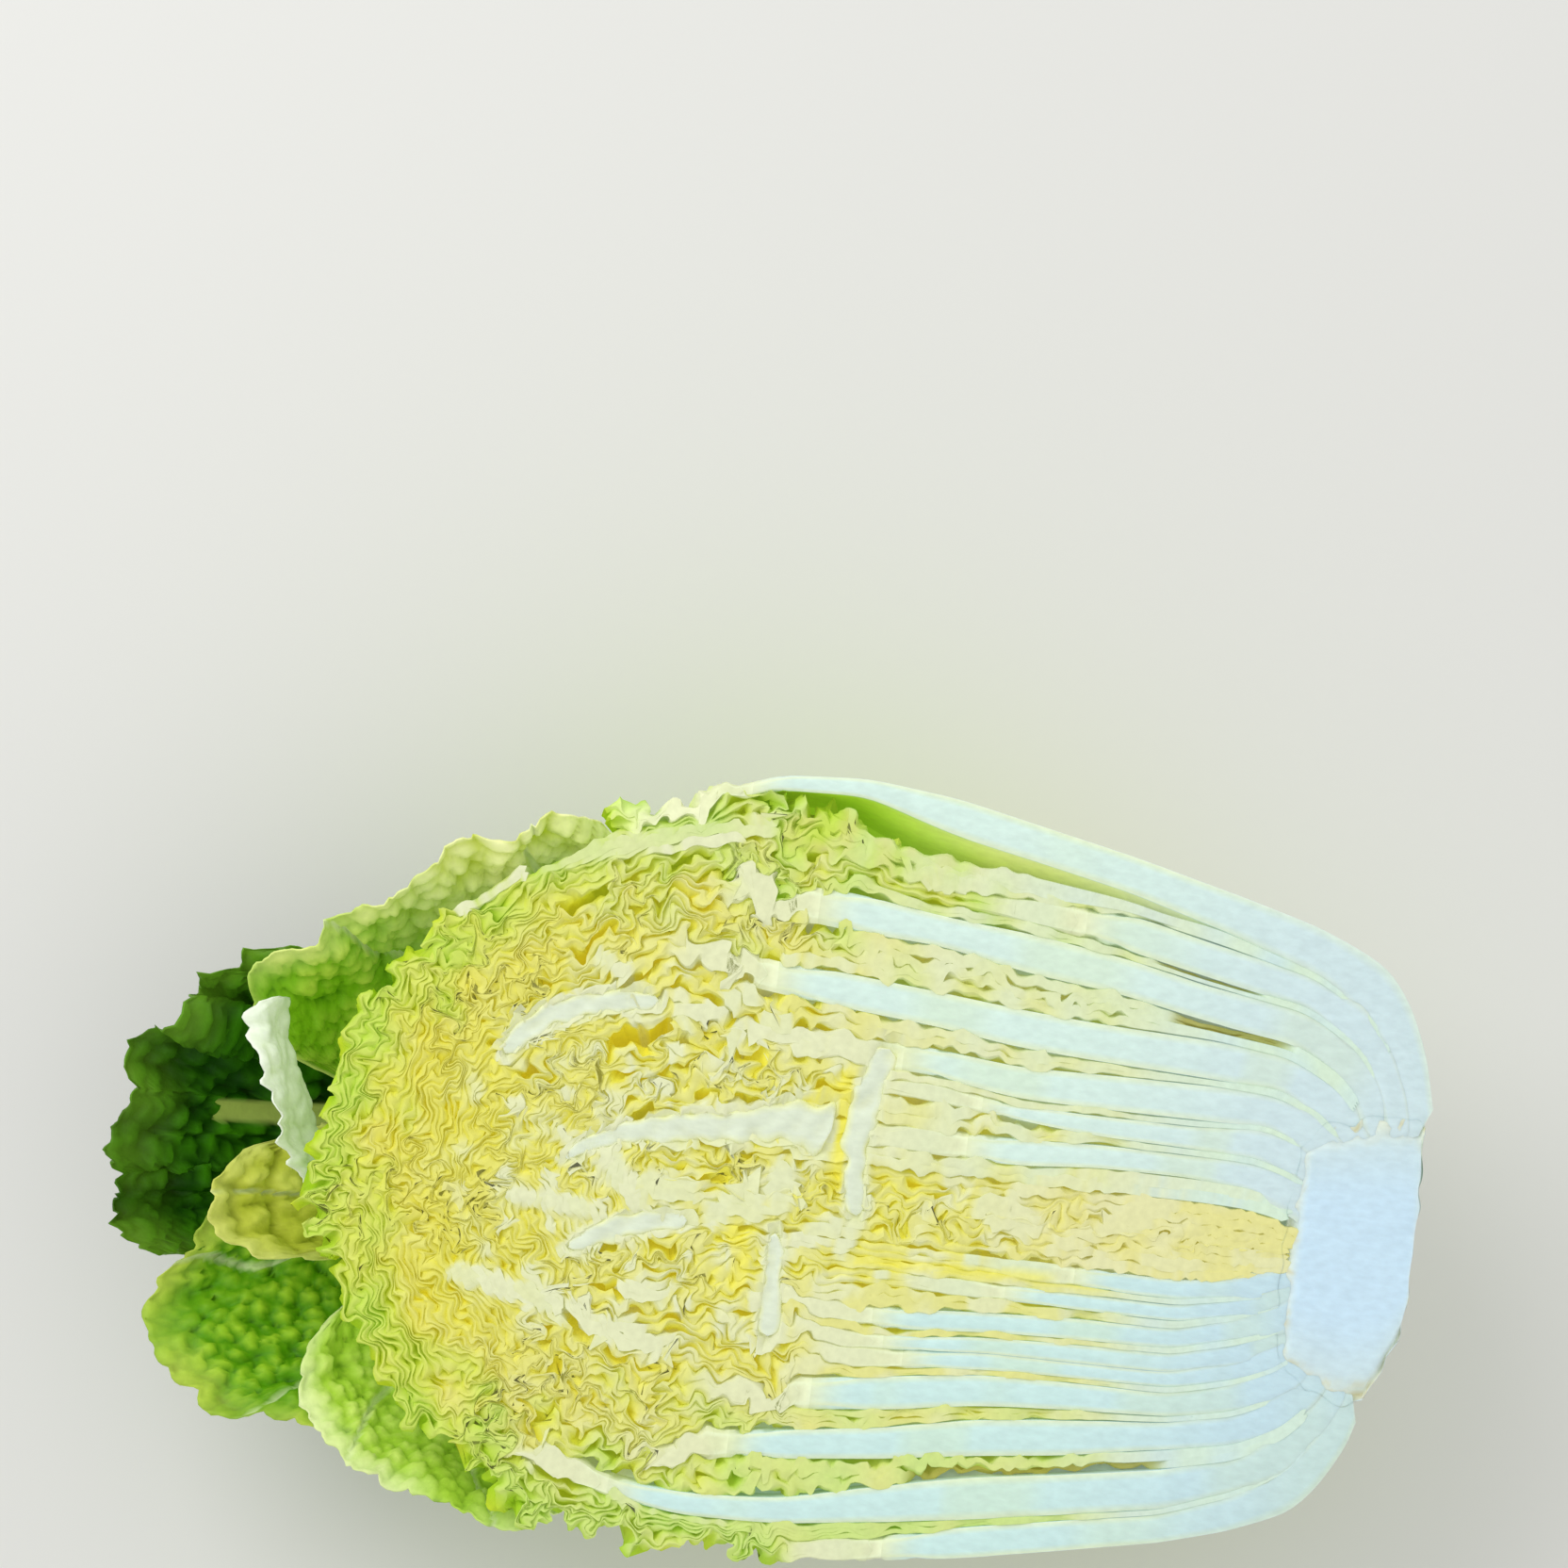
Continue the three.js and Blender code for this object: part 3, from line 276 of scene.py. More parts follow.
# %% Slots at the keel
KEEL_INNER = 0.29
KEEL_OUTER = 0.99
KEEL_WIDTH = {f"back_leaf_{k}": width for k, width in enumerate([4.4, 4.2, 3.8, 3.2, 2.4, 1.8, 1.2], 1)}
KEEL_AIR = 0.8  # room between two leaves, as widths are counted
HEART_KEEL = (0.02, 0.13)


def keel_slot(name):
    if name == "heart":
        return HEART_KEEL
    widths = [KEEL_WIDTH.get(n, 1.0) for n in ORDER[:-1]]
    unit = (KEEL_OUTER - KEEL_INNER) / sum(w + KEEL_AIR for w in widths)
    k = ORDER.index(name)
    outer = KEEL_OUTER - sum(w + KEEL_AIR for w in widths[:k]) * unit
    return outer - widths[k] * unit, outer


print("keel slot of the outermost back leaf:", np.round(keel_slot("back_leaf_1"), 3))

# %% [markdown]
# ## Crumpling
# Leaves in a tight head fold and swirl together, like the bands of marbled paper, and never pass through
# each other. A swirl that moves points along the contour lines of smooth noise does just that: it keeps
# the room between neighbours while it bends them. Several small swirls in a row give tight folds.

# %% Swirls and loose noise
def waves(points, wavelength, depth_wave, seed, count=13):
    """Directions, phases and wave numbers of a band of smooth noise, read at the points."""
    rng = np.random.default_rng(seed)
    turn = rng.uniform(0, 2 * np.pi, count)
    number = 2 * np.pi / wavelength * rng.uniform(0.7, 1.35, count)
    down = 2 * np.pi / depth_wave * rng.uniform(-1, 1, count)
    phase = rng.uniform(0, 2 * np.pi, count)
    for a, k, kz, p in zip(turn, number, down, phase):
        angle = k * (np.cos(a) * points[..., 0] + np.sin(a) * points[..., 1]) + kz * points[..., 2] + p
        yield a, angle


def noise(points, wavelength, depth_wave, seed):
    """Smooth noise of about -1 to 1."""
    total = sum(np.sin(angle) for _, angle in waves(points, wavelength, depth_wave, seed))
    return total / 3.6


def swirl(points, strength, wavelength, depth_wave, seed, much):
    """Moves points in the plane of the cut, by about strength millimetres times much."""
    moved = points.copy()
    size = strength / math.sqrt(13 / 2) * much
    for a, angle in waves(points, wavelength, depth_wave, seed):
        push = size * np.cos(angle)
        moved[..., 0] += np.sin(a) * push
        moved[..., 1] -= np.cos(a) * push
    return moved


# Strength, wavelength, wavelength down, seed and how many small steps the swirl is made in.
SWIRLS = [(2.4, 26, 30, 11, 1), (2.2, 11, 12, 12, 2), (1.7, 6.4, 9, 13, 3), (0.55, 4.2, 7, 14, 2)]


def crumple(points, much):
    for strength, wavelength, depth_wave, seed, steps in SWIRLS:
        for _ in range(steps):
            points = swirl(points, strength / steps, wavelength, depth_wave, seed, much)
    return points


moved = np.linalg.norm(crumple(np.zeros((1, 3)), 1.0))
print("the swirls move the middle of the tip by", round(moved, 2), "mm")

# %% [markdown]
# ## Midribs of leaves folded over the heart
# In the leafy part a few midribs are cut across and show as white bars. A sheet that meets a bar dips
# under its flat top, so the folds look grown against it, with no gap. Smaller veins are not pieces of
# their own: there the folds close up into thick pale tissue.

# %% The bars, as [x, y, width] along their middle
BARS = {
    "inner_rib_1": [
        [-21, 1.8, 2.5], [-17, 5.2, 3.8], [-8, 9.5, 4.9], [3, 11.5, 6.9], [17, 13.3, 6.6],
        [25, 15.7, 9.2], [31, 16.2, 13.4], [36, 15, 14.8],
    ],
    "inner_rib_2": [
        [46.5, 34, 6.5], [44, 28, 6], [42.4, 20, 7.6], [41.9, 12, 6.4], [42.4, 4, 5.4], [43.6, -3, 4.6],
    ],
    "inner_rib_3": [
        [-37, 23, 3], [-34.6, 27, 5], [-29, 32, 5.5], [-20, 36, 5.5], [-10, 37.7, 5], [-5, 38.5, 3],
    ],
    "inner_rib_4": [[-18, -17.5, 3], [-12.3, -14, 5.5], [-6, -10.8, 5.5], [1, -9.3, 5], [7, -8.5, 3]],
    "inner_rib_5": [[26.5, -9, 3], [27, -15, 4.5], [27, -20, 4], [27.5, -26, 6], [27.5, -31.5, 5]],
}
BAR_DEPTH = 15.0
BAR_TAPER = 0.55
BAR_LINES = [np.array(knots, float) for knots in BARS.values()]
print("bars from end to end, mm:", [round(math.dist(knots[0, :2], knots[-1, :2])) for knots in BAR_LINES])

# %% Smaller veins and deep yellow strips
# Smaller veins in the folds that the knife ran along, as a width and [x, y] points.
VEINS = [
    (2.8, [[-50, 55], [-40, 63], [-30, 67], [-18, 71], [-2, 75], [14, 79]]),
    (3.2, [[-12.1, 4.7], [-8.7, -1.5], [-3.6, -5.5]]),
    (4.4, [[-1.4, -1.2], [6, -2.3]]),
    (4.0, [[12.7, -6.5], [17.3, -2.9], [22.1, -4.3]]),
    (4.0, [[26.6, -2.5], [26.5, 5]]),
    (2.8, [[24.6, -23.4], [29.7, -30.5]]),
    (3.2, [[14, 33.6], [21.7, 36.2], [30.3, 33.3]]),
    (
        3.4,
        [[-41, -26], [-35, -27], [-27.9, -28.3], [-20.4, -30], [-13.4, -33.1], [-5.3, -34.8], [5.2, -36.3]],
    ),
    (3.0, [[22.2, 49.2], [35, 49.7]]),
    (2.4, [[43.1, -6.2], [41.1, -10.7]]),
    (2.8, [[-18.8, 46.7], [-10.3, 41.9]]),
    (2.4, [[-30.5, -7.4], [-21.8, -7.7], [-15.1, -8.9]]),
    (2.2, [[-5.2, -24.9], [2.5, -25.4]]),
    (2.4, [[31.4, -9.8], [38.7, -6.5]]),
    (2.6, [[2.6, 36.1], [9.5, 39.1], [17.5, 44.1]]),
    (5.0, [[71.7, 2.6], [81.1, -0.4]]),
    (1.8, [[86.9, -4.6], [93.4, -1], [104.3, 2.3]]),
    (2.0, [[93, -2.8], [96.2, -6.9], [104.7, -9], [115.8, -9.7], [133.1, -8.4]]),
    (1.6, [[107.1, -5.2], [119.1, -5.4]]),
    (1.8, [[127, -1.9], [139, -2.2]]),
    (5.0, [[109.6, 7], [101, 3.6]]),
    (1.8, [[78, 6.3], [91.8, 10.6], [104.8, 11.6], [130, 12.4]]),
    (3.0, [[-20, -64], [0, -69], [22, -72]]),
]
# Deep yellow strips, where a fold was cut just where it turns.
GOLD = [
    (2.6, [[38.1, 27], [38.6, 16], [38.0, 3]]), (3.6, [[18, -10], [19.6, -15], [19.4, -21]]),
    (2.2, [[30, 20.5], [38, 25]]), (1.6, [[45, -12.5], [70, -12], [100, -11.5]]),
]
VEIN_LINES, GOLD_LINES = (
    [np.array([[x, y, width] for x, y in knots], float) for width, knots in table] for table in (VEINS, GOLD)
)
print("veins and deep yellow strips:", len(VEIN_LINES), len(GOLD_LINES))


# %% How near each point is to a bar, a vein or a strip
def from_line(spot, knots):
    """Distance of each point from a line, and half the line's width there."""
    best = np.full(spot.shape[:-1], 1e9)
    half = np.ones(spot.shape[:-1])
    for p, q in zip(knots[:-1], knots[1:]):
        run = q[:2] - p[:2]
        t = np.clip(((spot[..., :2] - p[:2]) @ run) / (run @ run), 0, 1)
        gap = np.linalg.norm(spot[..., :2] - (p[:2] + t[..., None] * run), axis=-1)
        near = gap < best
        best = np.where(near, gap, best)
        half = np.where(near, mix(p[2], q[2], t) / 2, half)
    return best, half


def under_bars(points):
    """How many millimetres inside the outline of a bar each point lies."""
    inside = np.zeros(points.shape[:-1])
    for knots in BAR_LINES:
        best, half = from_line(points, knots)
        inside = np.maximum(inside, half - best)
    inside = inside - 0.8 * np.clip(noise(points, 3.2, 20, 66), 0, 1)
    return inside * smooth(BAR_DEPTH + 2, BAR_DEPTH - 3, -points[..., 2])


def on_lines(points, lines, outside, inside):
    """0 at this many millimetres outside every line's edge and 1 at this many outside or inside it."""
    much = np.zeros(points.shape[:-1])
    for knots in lines:
        best, half = from_line(points, knots)
        much = np.maximum(much, smooth(outside, inside, best - half))
    return much


def vein_lines(points, reach):
    """1 on a vein or bar and 0 further from it than this many millimetres."""
    return np.maximum(on_lines(points, VEIN_LINES, reach, 0), on_lines(points, BAR_LINES, 0.6 * reach, 0))


def golden(points):
    """How much each point lies in a deep yellow strip, 0 to 1."""
    return on_lines(points, GOLD_LINES, 0.8, -0.4)


def veined(points):
    """How much each point of the cut face lies in thick pale tissue, 0 to 1."""
    wavy = 0.5 * noise(points, 5, 20, 64)[..., None] * [1.0, 1.0, 0.0]
    return vein_lines(points + wavy, 1.6) * (1 - golden(points))


middle = BAR_LINES[0][3:4] * [1.0, 1.0, 0.0]
print("inner_rib_1's middle lies", round(float(under_bars(middle)[0]), 1), "mm inside its outline")

# %% [markdown]
# ## Colours
# The cut midribs are white and a little cool. The folded blades are pale yellow at the cut edge and go
# to gold down between the folds, where light has passed through several leaves. Towards the outside
# more light reached the growing leaf, so it turns yellow-green and then green.

# %% Colours as sRGB, turned to linear by one function
def linear(code):
    parts = [int(code[i : i + 2], 16) / 255 for i in (1, 3, 5)]
    return np.array([c / 12.92 if c <= 0.04045 else ((c + 0.055) / 1.055) ** 2.4 for c in parts])


RIB_COLOUR = linear("#cde2d9")
STEM_COLOUR = linear("#c6d9dc")
SAP_COLOUR = linear("#cfdc98")
VEIN_WHITE = linear("#dbe1b8")
CLOSED_WING = linear("#d5e2c0")
# The last of each three shades is painted down between the folds: deeper and yellower, as painted light for
# light that has come through several leaves.
YELLOW = [linear("#dddb80"), linear("#ece85a"), linear("#f4e83e")]
GREEN = [linear("#c4dc78"), linear("#b2d83e"), linear("#a2cc24")]
PALE = linear("#dde1b8")
LEAFY = linear("#bdd83c")
PALE_FACE = linear("#dbe4b4")
# Painted shade in the open gaps between ribs beside the stem: a darker olive.
SLIT_SHADE = linear("#c6b858")
RIB_BORDER = linear("#d8e2bc")
HEART_CREAM = linear("#e0dba0")
TORN = linear("#d6cc80")
# The inner face of the outermost left leaf, green to pale to cream along it. It lies in a shaded hollow, so
# these colours are also made lighter than the tissue, as painted light.
INNER_FACE = [linear("#c4ec40"), linear("#ebf49c"), linear("#edf3d4")]
DEEP_GOLD = YELLOW[1] * [1.0, 0.97, 0.8]
# Shades that a colour is multiplied by: yellower at the tip, cooler at the right side and at the core.
TIP_WARMTH, RIGHT_SHADE, CORE_SHADE = np.array([[1.0, 0.98, 0.6], [0.9, 0.97, 1.02], [0.84, 0.9, 0.94]])
# How green each leaf is beside the head's left and right sides.
LEFT_GREEN = {
    "left_leaf_1": 0.7, "back_leaf_1": 0.75, "left_leaf_2": 0.5, "back_leaf_2": 0.75, "left_leaf_3": 0.25,
    "back_leaf_3": 0.2,
}
RIGHT_GREEN = {
    "right_leaf_1": 0.8, "back_leaf_1": 0.95, "right_leaf_2": 0.6, "back_leaf_2": 0.7,
    "right_leaf_3": 0.3, "back_leaf_3": 0.35, "right_leaf_4": 0.12,
}


def three_shades(shades, row_mm, depth):
    """Edge colour, blade colour and the colour down between folds, which is painted light and shade: deeper
    and yellower, as light there has passed through several leaves.
    """
    upper = mix(shades[0], shades[1], smooth(0.2, 1.6, row_mm)[..., None])
    return mix(upper, shades[2], (0.85 * smooth(0.8, 4.0, depth))[..., None])


print("the ribs' white as linear values:", np.round(RIB_COLOUR, 3))

# %% [markdown]
# ## Materials
# A leaf blade is a thin waxy sheet, and light that falls on its far side comes through it. A real thin
# sheet would let light pass by itself, but slowly and with grain, so here a little glow in the leaf's own
# colour stands for it. A cut midrib is thick wet tissue that scatters light under its surface. Both take
# their colour from the sheet itself, where it is painted point by point, and a fine grain of cells varies
# it and roughens the surface.

# %% One function for every node
def node(material, kind, links=None, **settings):
    """Adds a node. links maps its inputs to other nodes' outputs; settings set inputs or properties."""
    made = material.node_tree.nodes.new(kind)
    for key, value in settings.items():
        label = key.replace("_", " ")
        if label in made.inputs:
            made.inputs[label].default_value = value
        else:
            setattr(made, key, value)
    for key, output in (links or {}).items():
        material.node_tree.links.new(output, made.inputs[key])
    return made


print("a node takes its settings and its links in one call")


# %% The two leaf materials
def leaf_material(name, roughness, shine, scatter, through, bump, stretch, grain_mm):
    """through is the glow of light that has passed the leaf. The grain is stretched along x, the leaf."""
    material = bpy.data.materials.new(name)
    material.use_nodes = True
    shader = material.node_tree.nodes["Principled BSDF"]
    for label, value in {
        "Roughness": roughness, "IOR": 1.4, "Specular IOR Level": shine, "Subsurface Weight": scatter,
        "Subsurface Radius": (1.0, 1.0, 0.9), "Subsurface Scale": 0.0015, "Emission Strength": through,
    }.items():
        shader.inputs[label].default_value = value
    tint = node(material, "ShaderNodeAttribute", attribute_name="tint")
    where = node(material, "ShaderNodeTexCoord")
    turned = node(material, "ShaderNodeMapping", {"Vector": where.outputs["Object"]}, Scale=stretch)
    fine = node(
        material, "ShaderNodeTexNoise", {"Vector": turned.outputs[0]}, Scale=1000 / grain_mm, Detail=4.0,
    )
    bumps = node(material, "ShaderNodeBump", {"Height": fine.outputs["Fac"]}, Strength=bump, Distance=0.0006)
    shade = node(
        material, "ShaderNodeMapRange", {"Value": fine.outputs["Fac"]},
        From_Min=0.3, From_Max=0.7, To_Min=0.93, To_Max=1.03,
    )
    toned = node(
        material, "ShaderNodeVectorMath",
        {0: tint.outputs["Color"], 3: shade.outputs[0]}, operation="SCALE",
    )
    for output, label in ((toned, "Base Color"), (toned, "Emission Color"), (bumps, "Normal")):
        material.node_tree.links.new(output.outputs[0], shader.inputs[label])
    return material


# Cells are 0.05 to 0.1 mm across, too fine to show, so the grain is drawn at about 1.5 mm.
# The blade's wax gives a soft, dull shine. The cut rib is wet, so it shines more, and its grain runs
# along it as fibres twice as long as they are wide.
BLADE = leaf_material("Napa cabbage blade", 0.5, 0.2, 0.0, 0.2, 0.2, (1, 1, 1), 1.6)
# The cut midrib, and the bars and core made of the same material, glow a little in their own colour too:
# painted light.
CUT_RIB = leaf_material("Cut napa cabbage midrib", 0.42, 0.3, 0.5, 0.1, 0.1, (0.5, 1, 1), 1.4)
print("materials:", [BLADE.name, CUT_RIB.name])

# %% [markdown]
# ## From a grid to a leaf
# A leaf could be extruded and sculpted, but two dozen nested ones have to keep clear of each other.
# So each starts as a flat primitive grid. One direction of the grid runs along the leaf, and the other
# goes up one face, over the cut edge and down the other face. Every point is then moved to its place.
# The far edges of the two faces meet, so merging doubled points closes the sheet.

# %% Grid to closed sheet
def grid_piece(name, points, tint, materials, slot_of_face=None):
    """points and tint are arrays of rows, columns and 3. Rows wind across the leaf, columns along it."""
    rows, columns = points.shape[:2]
    bpy.ops.object.select_all(action="DESELECT")
    bpy.ops.mesh.primitive_grid_add(x_subdivisions=columns - 1, y_subdivisions=rows - 1, size=1)
    piece = bpy.context.object
    piece.name = name
    mesh = piece.data
    mesh.vertices.foreach_set("co", (points / 1000 + HOME).astype(np.float32).ravel())
    colour = np.ones((rows * columns, 4), np.float32)
    colour[:, :3] = tint.reshape(-1, 3)
    mesh.color_attributes.new("tint", "FLOAT_COLOR", "POINT")
    mesh.color_attributes["tint"].data.foreach_set("color", colour.ravel())
    for material in materials:
        mesh.materials.append(material)
    if slot_of_face is not None:
        mesh.polygons.foreach_set("material_index", slot_of_face.astype(np.int32).ravel())
    mesh.polygons.foreach_set("use_smooth", np.ones(len(mesh.polygons), bool))
    mesh.update()
    bpy.ops.object.mode_set(mode="EDIT")
    bpy.ops.mesh.select_all(action="SELECT")
    bpy.ops.mesh.remove_doubles(threshold=2e-6)
    bpy.ops.object.mode_set(mode="OBJECT")
    return piece


# Edges that turn more than this many degrees stay sharp. Smoothed over, a tight fold would show dark
# smears, because its normals would point sideways.
CREASE = 38


def joined(name, parts):
    """Makes one piece of several meshes, smooth but for its sharp folds."""
    bpy.ops.object.select_all(action="DESELECT")
    for part in parts:
        part.select_set(True)
    bpy.context.view_layer.objects.active = parts[0]
    if len(parts) > 1:
        bpy.ops.object.join()
    piece = bpy.context.view_layer.objects.active
    piece.name = name
    piece.data.set_sharp_from_angle(angle=math.radians(CREASE))
    return piece


def triangles(piece):
    return sum(len(p.vertices) - 2 for p in piece.data.polygons)


print("edges that turn more than", CREASE, "degrees stay sharp")


# %% [markdown]
# ## The leaves of the head
# A sheet's columns lie 0.6 mm apart where it is crumpled, closer in the tightest turns and further apart
# along the smooth midribs. Its rows lie close together near the cut face, where the folds show, and far
# apart below. A leaf is thin at its cut edge and is given more thickness just below, so neighbours meet
# in a shallow fold instead of a deep dark slit, as wet leaves that stick together do.

# %% How a leaf runs: its midrib, its ends and its gaps
THIN = 0.5  # thickness at the cut edge, mm
ROWS_MM = np.array([0, 0.35, 1.0, 2.2, 5.0])  # depths of the upper rows under the cut
DEEP_MM = 20.0  # stands for the depth of every lower row
CUT_ROWS = [0.2, 0.8]  # two more rows across a cut midrib keep its border narrow
FOLD_STEP, RIB_STEP = 0.6, 2.2
RIB_SOFT = 26.0
WING_END = 158.0
FINE_PLACES = np.arange(-165, 345, 0.1)
# Beside the stem the wings close up between the ribs, but for these gaps: leaf, side, from, to and folds.
GAPS = [
    ("back_leaf_2", "left", 104, 128, (1,)), ("back_leaf_3", "left", 109, 139, (2, 3)),
    ("back_leaf_2", "right", 62, 119, (1,)),
]


def to_stem(place):
    """Millimetres towards the stem. It is below 0 round the tip."""
    return np.where(place < 90, -place, place - 180)


def rib_fill(name, place, start=-4, over=RIB_SOFT):
    """How much of its slot a side leaf fills as a midrib: 1 near the stem, 0 in the leafy part."""
    if name not in RIB_END:
        return np.zeros_like(place)
    past = -place if name.startswith("left") else place - 180
    return smooth(RIB_END[name] + start, RIB_END[name] + start + over, past)


def leaf_ends(name, fold):
    """The places where a fold starts and ends. The second fold of a side leaf stays off its midrib."""
    if name.startswith("left"):
        return (-165 if fold == 0 else -RIB_END[name] - 6), (15 if name == "left_leaf_1" else 150)
    if name.startswith("right"):
        return 30, (345 if fold == 0 else 186 + RIB_END[name])
    if name == "heart":
        return -164, 344
    return -WING_END, 180 + WING_END


print("the left side's first midrib is full from", RIB_END["left_leaf_1"] - 4 + RIB_SOFT, "mm")


# %% How much a fold crumples, and where its points lie
def closing_lines(name, fold, room, line):
    """Along the places: how open a gap is, how far the wings have shut, and how much they crumple."""
    stem = to_stem(PLACES)
    gap, shut = np.zeros_like(PLACES), np.zeros_like(PLACES)
    for leaf, side, start, end, folds in GAPS:
        if leaf == name and fold in folds:
            here = (PLACES < 90) == (side == "left")
            gap = np.maximum(gap, smooth(start - 3, start + 2, stem) * smooth(end + 2, end - 6, stem) * here)
    v = (fold + 0.5) / FOLDS.get(name, 1)
    held = 0.0
    if name == "heart":
        held = 1 - v**1.6
    elif name not in RIB_END:
        shut = smooth(94, 112, stem) * (1 - gap)
        if name == "back_leaf_1" and fold > 0:
            shut = np.maximum(shut, smooth(60, 80, stem) * (PLACES < 90))
        held = (4 * v * (1 - v)) ** 2
    most = 0.95 if name == "heart" else 0.5
    beside = most * held * np.clip(room / 5, 0, 1) * smooth(135, 112, stem) * (1 - shut)
    calm = np.clip(0.85 + 0.45 * noise(on_ray(PLACES, 0.0, 0.6), 26, 30, 62), 0.45, 1.15)
    calm = calm * (1 - 0.75 * vein_lines(on_ray(PLACES, 0.0, line), 5.0))
    leafy = smooth(50, 14, stem) * (1 - smooth(0, 0.4, rib_fill(name, PLACES)))
    return {"gap": gap, "shut": shut, "much": calm * np.maximum(leafy, beside)}


def places_along(line, start, end, fill, much):
    """Places along the leaf, closer together where the crumpled cut edge turns sharply."""
    path = crumple(on_ray(FINE_PLACES, 0.01, at_place(line, FINE_PLACES)), at_place(much, FINE_PLACES))
    step = np.diff(path, axis=0)
    length = np.linalg.norm(step, axis=1)
    heading = np.unwrap(np.arctan2(step[:, 1], step[:, 0]))
    bend = np.abs(np.gradient(heading)) / np.maximum(length, 1e-3)
    bend = np.convolve(bend, np.hanning(15) / np.hanning(15).sum(), "same")
    pace = FOLD_STEP * np.clip(0.62 + 0.55 / np.maximum(bend, 0.05), 0.62, 1.9)
    ribbed = at_place(fill, FINE_PLACES[1:])
    count = np.r_[0, np.cumsum(length / np.where(ribbed > 0.95, RIB_STEP, pace))]
    first, last = np.interp([start, end], FINE_PLACES, count)
    return np.interp(np.linspace(first, last, int(last - first) + 2), count, FINE_PLACES)


for much in (0, 1):
    points_along = places_along(0.5 + 0 * PLACES, 0, 180, 0 * PLACES, much + 0 * PLACES)
    print("points along a", ("smooth", "crumpled")[much], "fold round the tip:", len(points_along))


# %% What is known of each point of a sheet
def sheet_rows(name, keel_mm, deep_rows):
    """Depth of each row, as an angle and in millimetres."""
    top = np.arcsin(np.clip(ROWS_MM[:, None] / keel_mm, 0, 0.8))
    final = np.radians(82 if name in RIB_END else 90)
    below = [mix(top[-1], final, (k + 1) / deep_rows)[None] for k in range(deep_rows)]
    depth = np.vstack([top] + below)
    return depth, np.r_[ROWS_MM, [DEEP_MM] * deep_rows][:, None] * np.ones_like(depth)


def sheet_grid(name, fold, folds, seed, deep_rows):
    """A record of arrays, each with one value for every row and column of the sheet."""
    near_line, far_line = slot_lines(name)
    share_line = (fold + 0.5) / folds
    if name in RIB_END:
        share_line = mix(share_line, 0.5, rib_fill(name, PLACES, -18, 16))
    middle_line = mix(near_line, far_line, share_line)
    lines = closing_lines(name, fold, (far_line - near_line) * reach_line, middle_line)
    lines["ribbed"] = rib_fill(name, PLACES)
    place = places_along(middle_line, *leaf_ends(name, fold), lines["ribbed"], lines["much"])
    keel_near, keel_far = keel_slot(name)
    v = at_place(share_line * np.ones_like(PLACES), place)
    keel_mm = mix(keel_near, keel_far, v) * at_place(keel_line, place)
    depth, row_mm = sheet_rows(name, keel_mm, deep_rows)
    place = np.broadcast_to(place, depth.shape)
    at = SimpleNamespace(place=place, depth=depth, row_mm=row_mm, stem=to_stem(place))
    vars(at).update({key: at_place(line, place) for key, line in lines.items()})
    sink = smooth(0, np.pi / 2, depth)
    near = mix(at_place(near_line, place), keel_near, sink)
    far = mix(at_place(far_line, place), keel_far, sink)
    at.length = np.linalg.norm(on_ray(place, depth, 1.0) - on_ray(place, depth, 0.0), axis=-1)
    at.room = (far - near) * at.length
    at.spare = at.room / (mix(folds, 1, rib_fill(name, place, -18, 16)) if name in RIB_END else folds)
    at.fill = at.ribbed * (1 - smooth(0, np.radians(30), depth))
    own = noise(np.stack([place, 0 * place + 31.0 * seed, -11 * sink], -1), 5.0, 30, 50 + seed)
    loose = (1 - rib_fill(name, place, -30, 20)) * (1 - at.shut)
    at.middle = mix(near, far, v) * at.length + 0.3 * np.maximum(at.spare - THIN, 0) * own * loose
    if name == "back_leaf_1":
        aside = smooth(22, 40, at.stem) * smooth(118, 100, at.stem) * (place < 90)
        at.middle = at.middle - at.room * 0.5 * v * aside
    at.share = at.middle / at.length
    return at


sample = sheet_grid("heart", 0, FOLDS["heart"], 0, 1)
print("rows and columns of the heart's first fold:", sample.share.shape)


# %% Where folds stick together, how thick a sheet is and how far it dips
def stick(name, at):
    """Adds vein, 1 on the veins that the knife ran along, and closed, 1 where folds stick together."""
    seam = crumple(on_ray(at.place[:1], 0.01, at.share[:1]), at.much[:1])
    near_cut = smooth(8, 3, at.row_mm) * (1 - at.ribbed)
    at.vein = veined(seam) * near_cut
    patchy = 0.8 * smooth(0.4, 1.1, noise(seam, 9, 20, 63)) * smooth(0.8, 0.4, at.share[:1])
    stem = at.stem[:1]
    if name in RIB_END:
        more = 0.9 * smooth(RIB_END[name] - 24, RIB_END[name] - 4, stem)
    elif name == "heart":
        more = 0.8 * smooth(85, 110, stem)
    else:
        more = np.clip(0.8 + 0.3 * noise(seam, 14, 20, 65), 0, 1) * smooth(14, 38, stem)
    at.closed = np.maximum(at.vein, np.maximum(patchy, more) * near_cut)


def thickness(at, hollow):
    """Thin at the cut edge and filling its room below. A midrib, or folds that stick, fill it all."""
    opening = smooth(0.1, mix(0.9, 3.6, hollow), at.row_mm) * (1 - 0.5 * at.gap)
    thick = mix(THIN, at.spare + 0.4, opening)
    snug = 0.25 + 0.4 * np.maximum(smooth(20, 45, at.stem), at.vein)
    thick = mix(thick, 1.1 * at.spare + snug, at.closed * (1 - at.gap))
    thick = mix(thick, 1.12 * at.spare + 0.3, at.shut)
    meeting = 0.35 + 1.1 * smooth(112, 138, at.stem) + 3.5 * smooth(138, 152, at.stem)
    return mix(thick, at.room + meeting, at.fill**1.5)


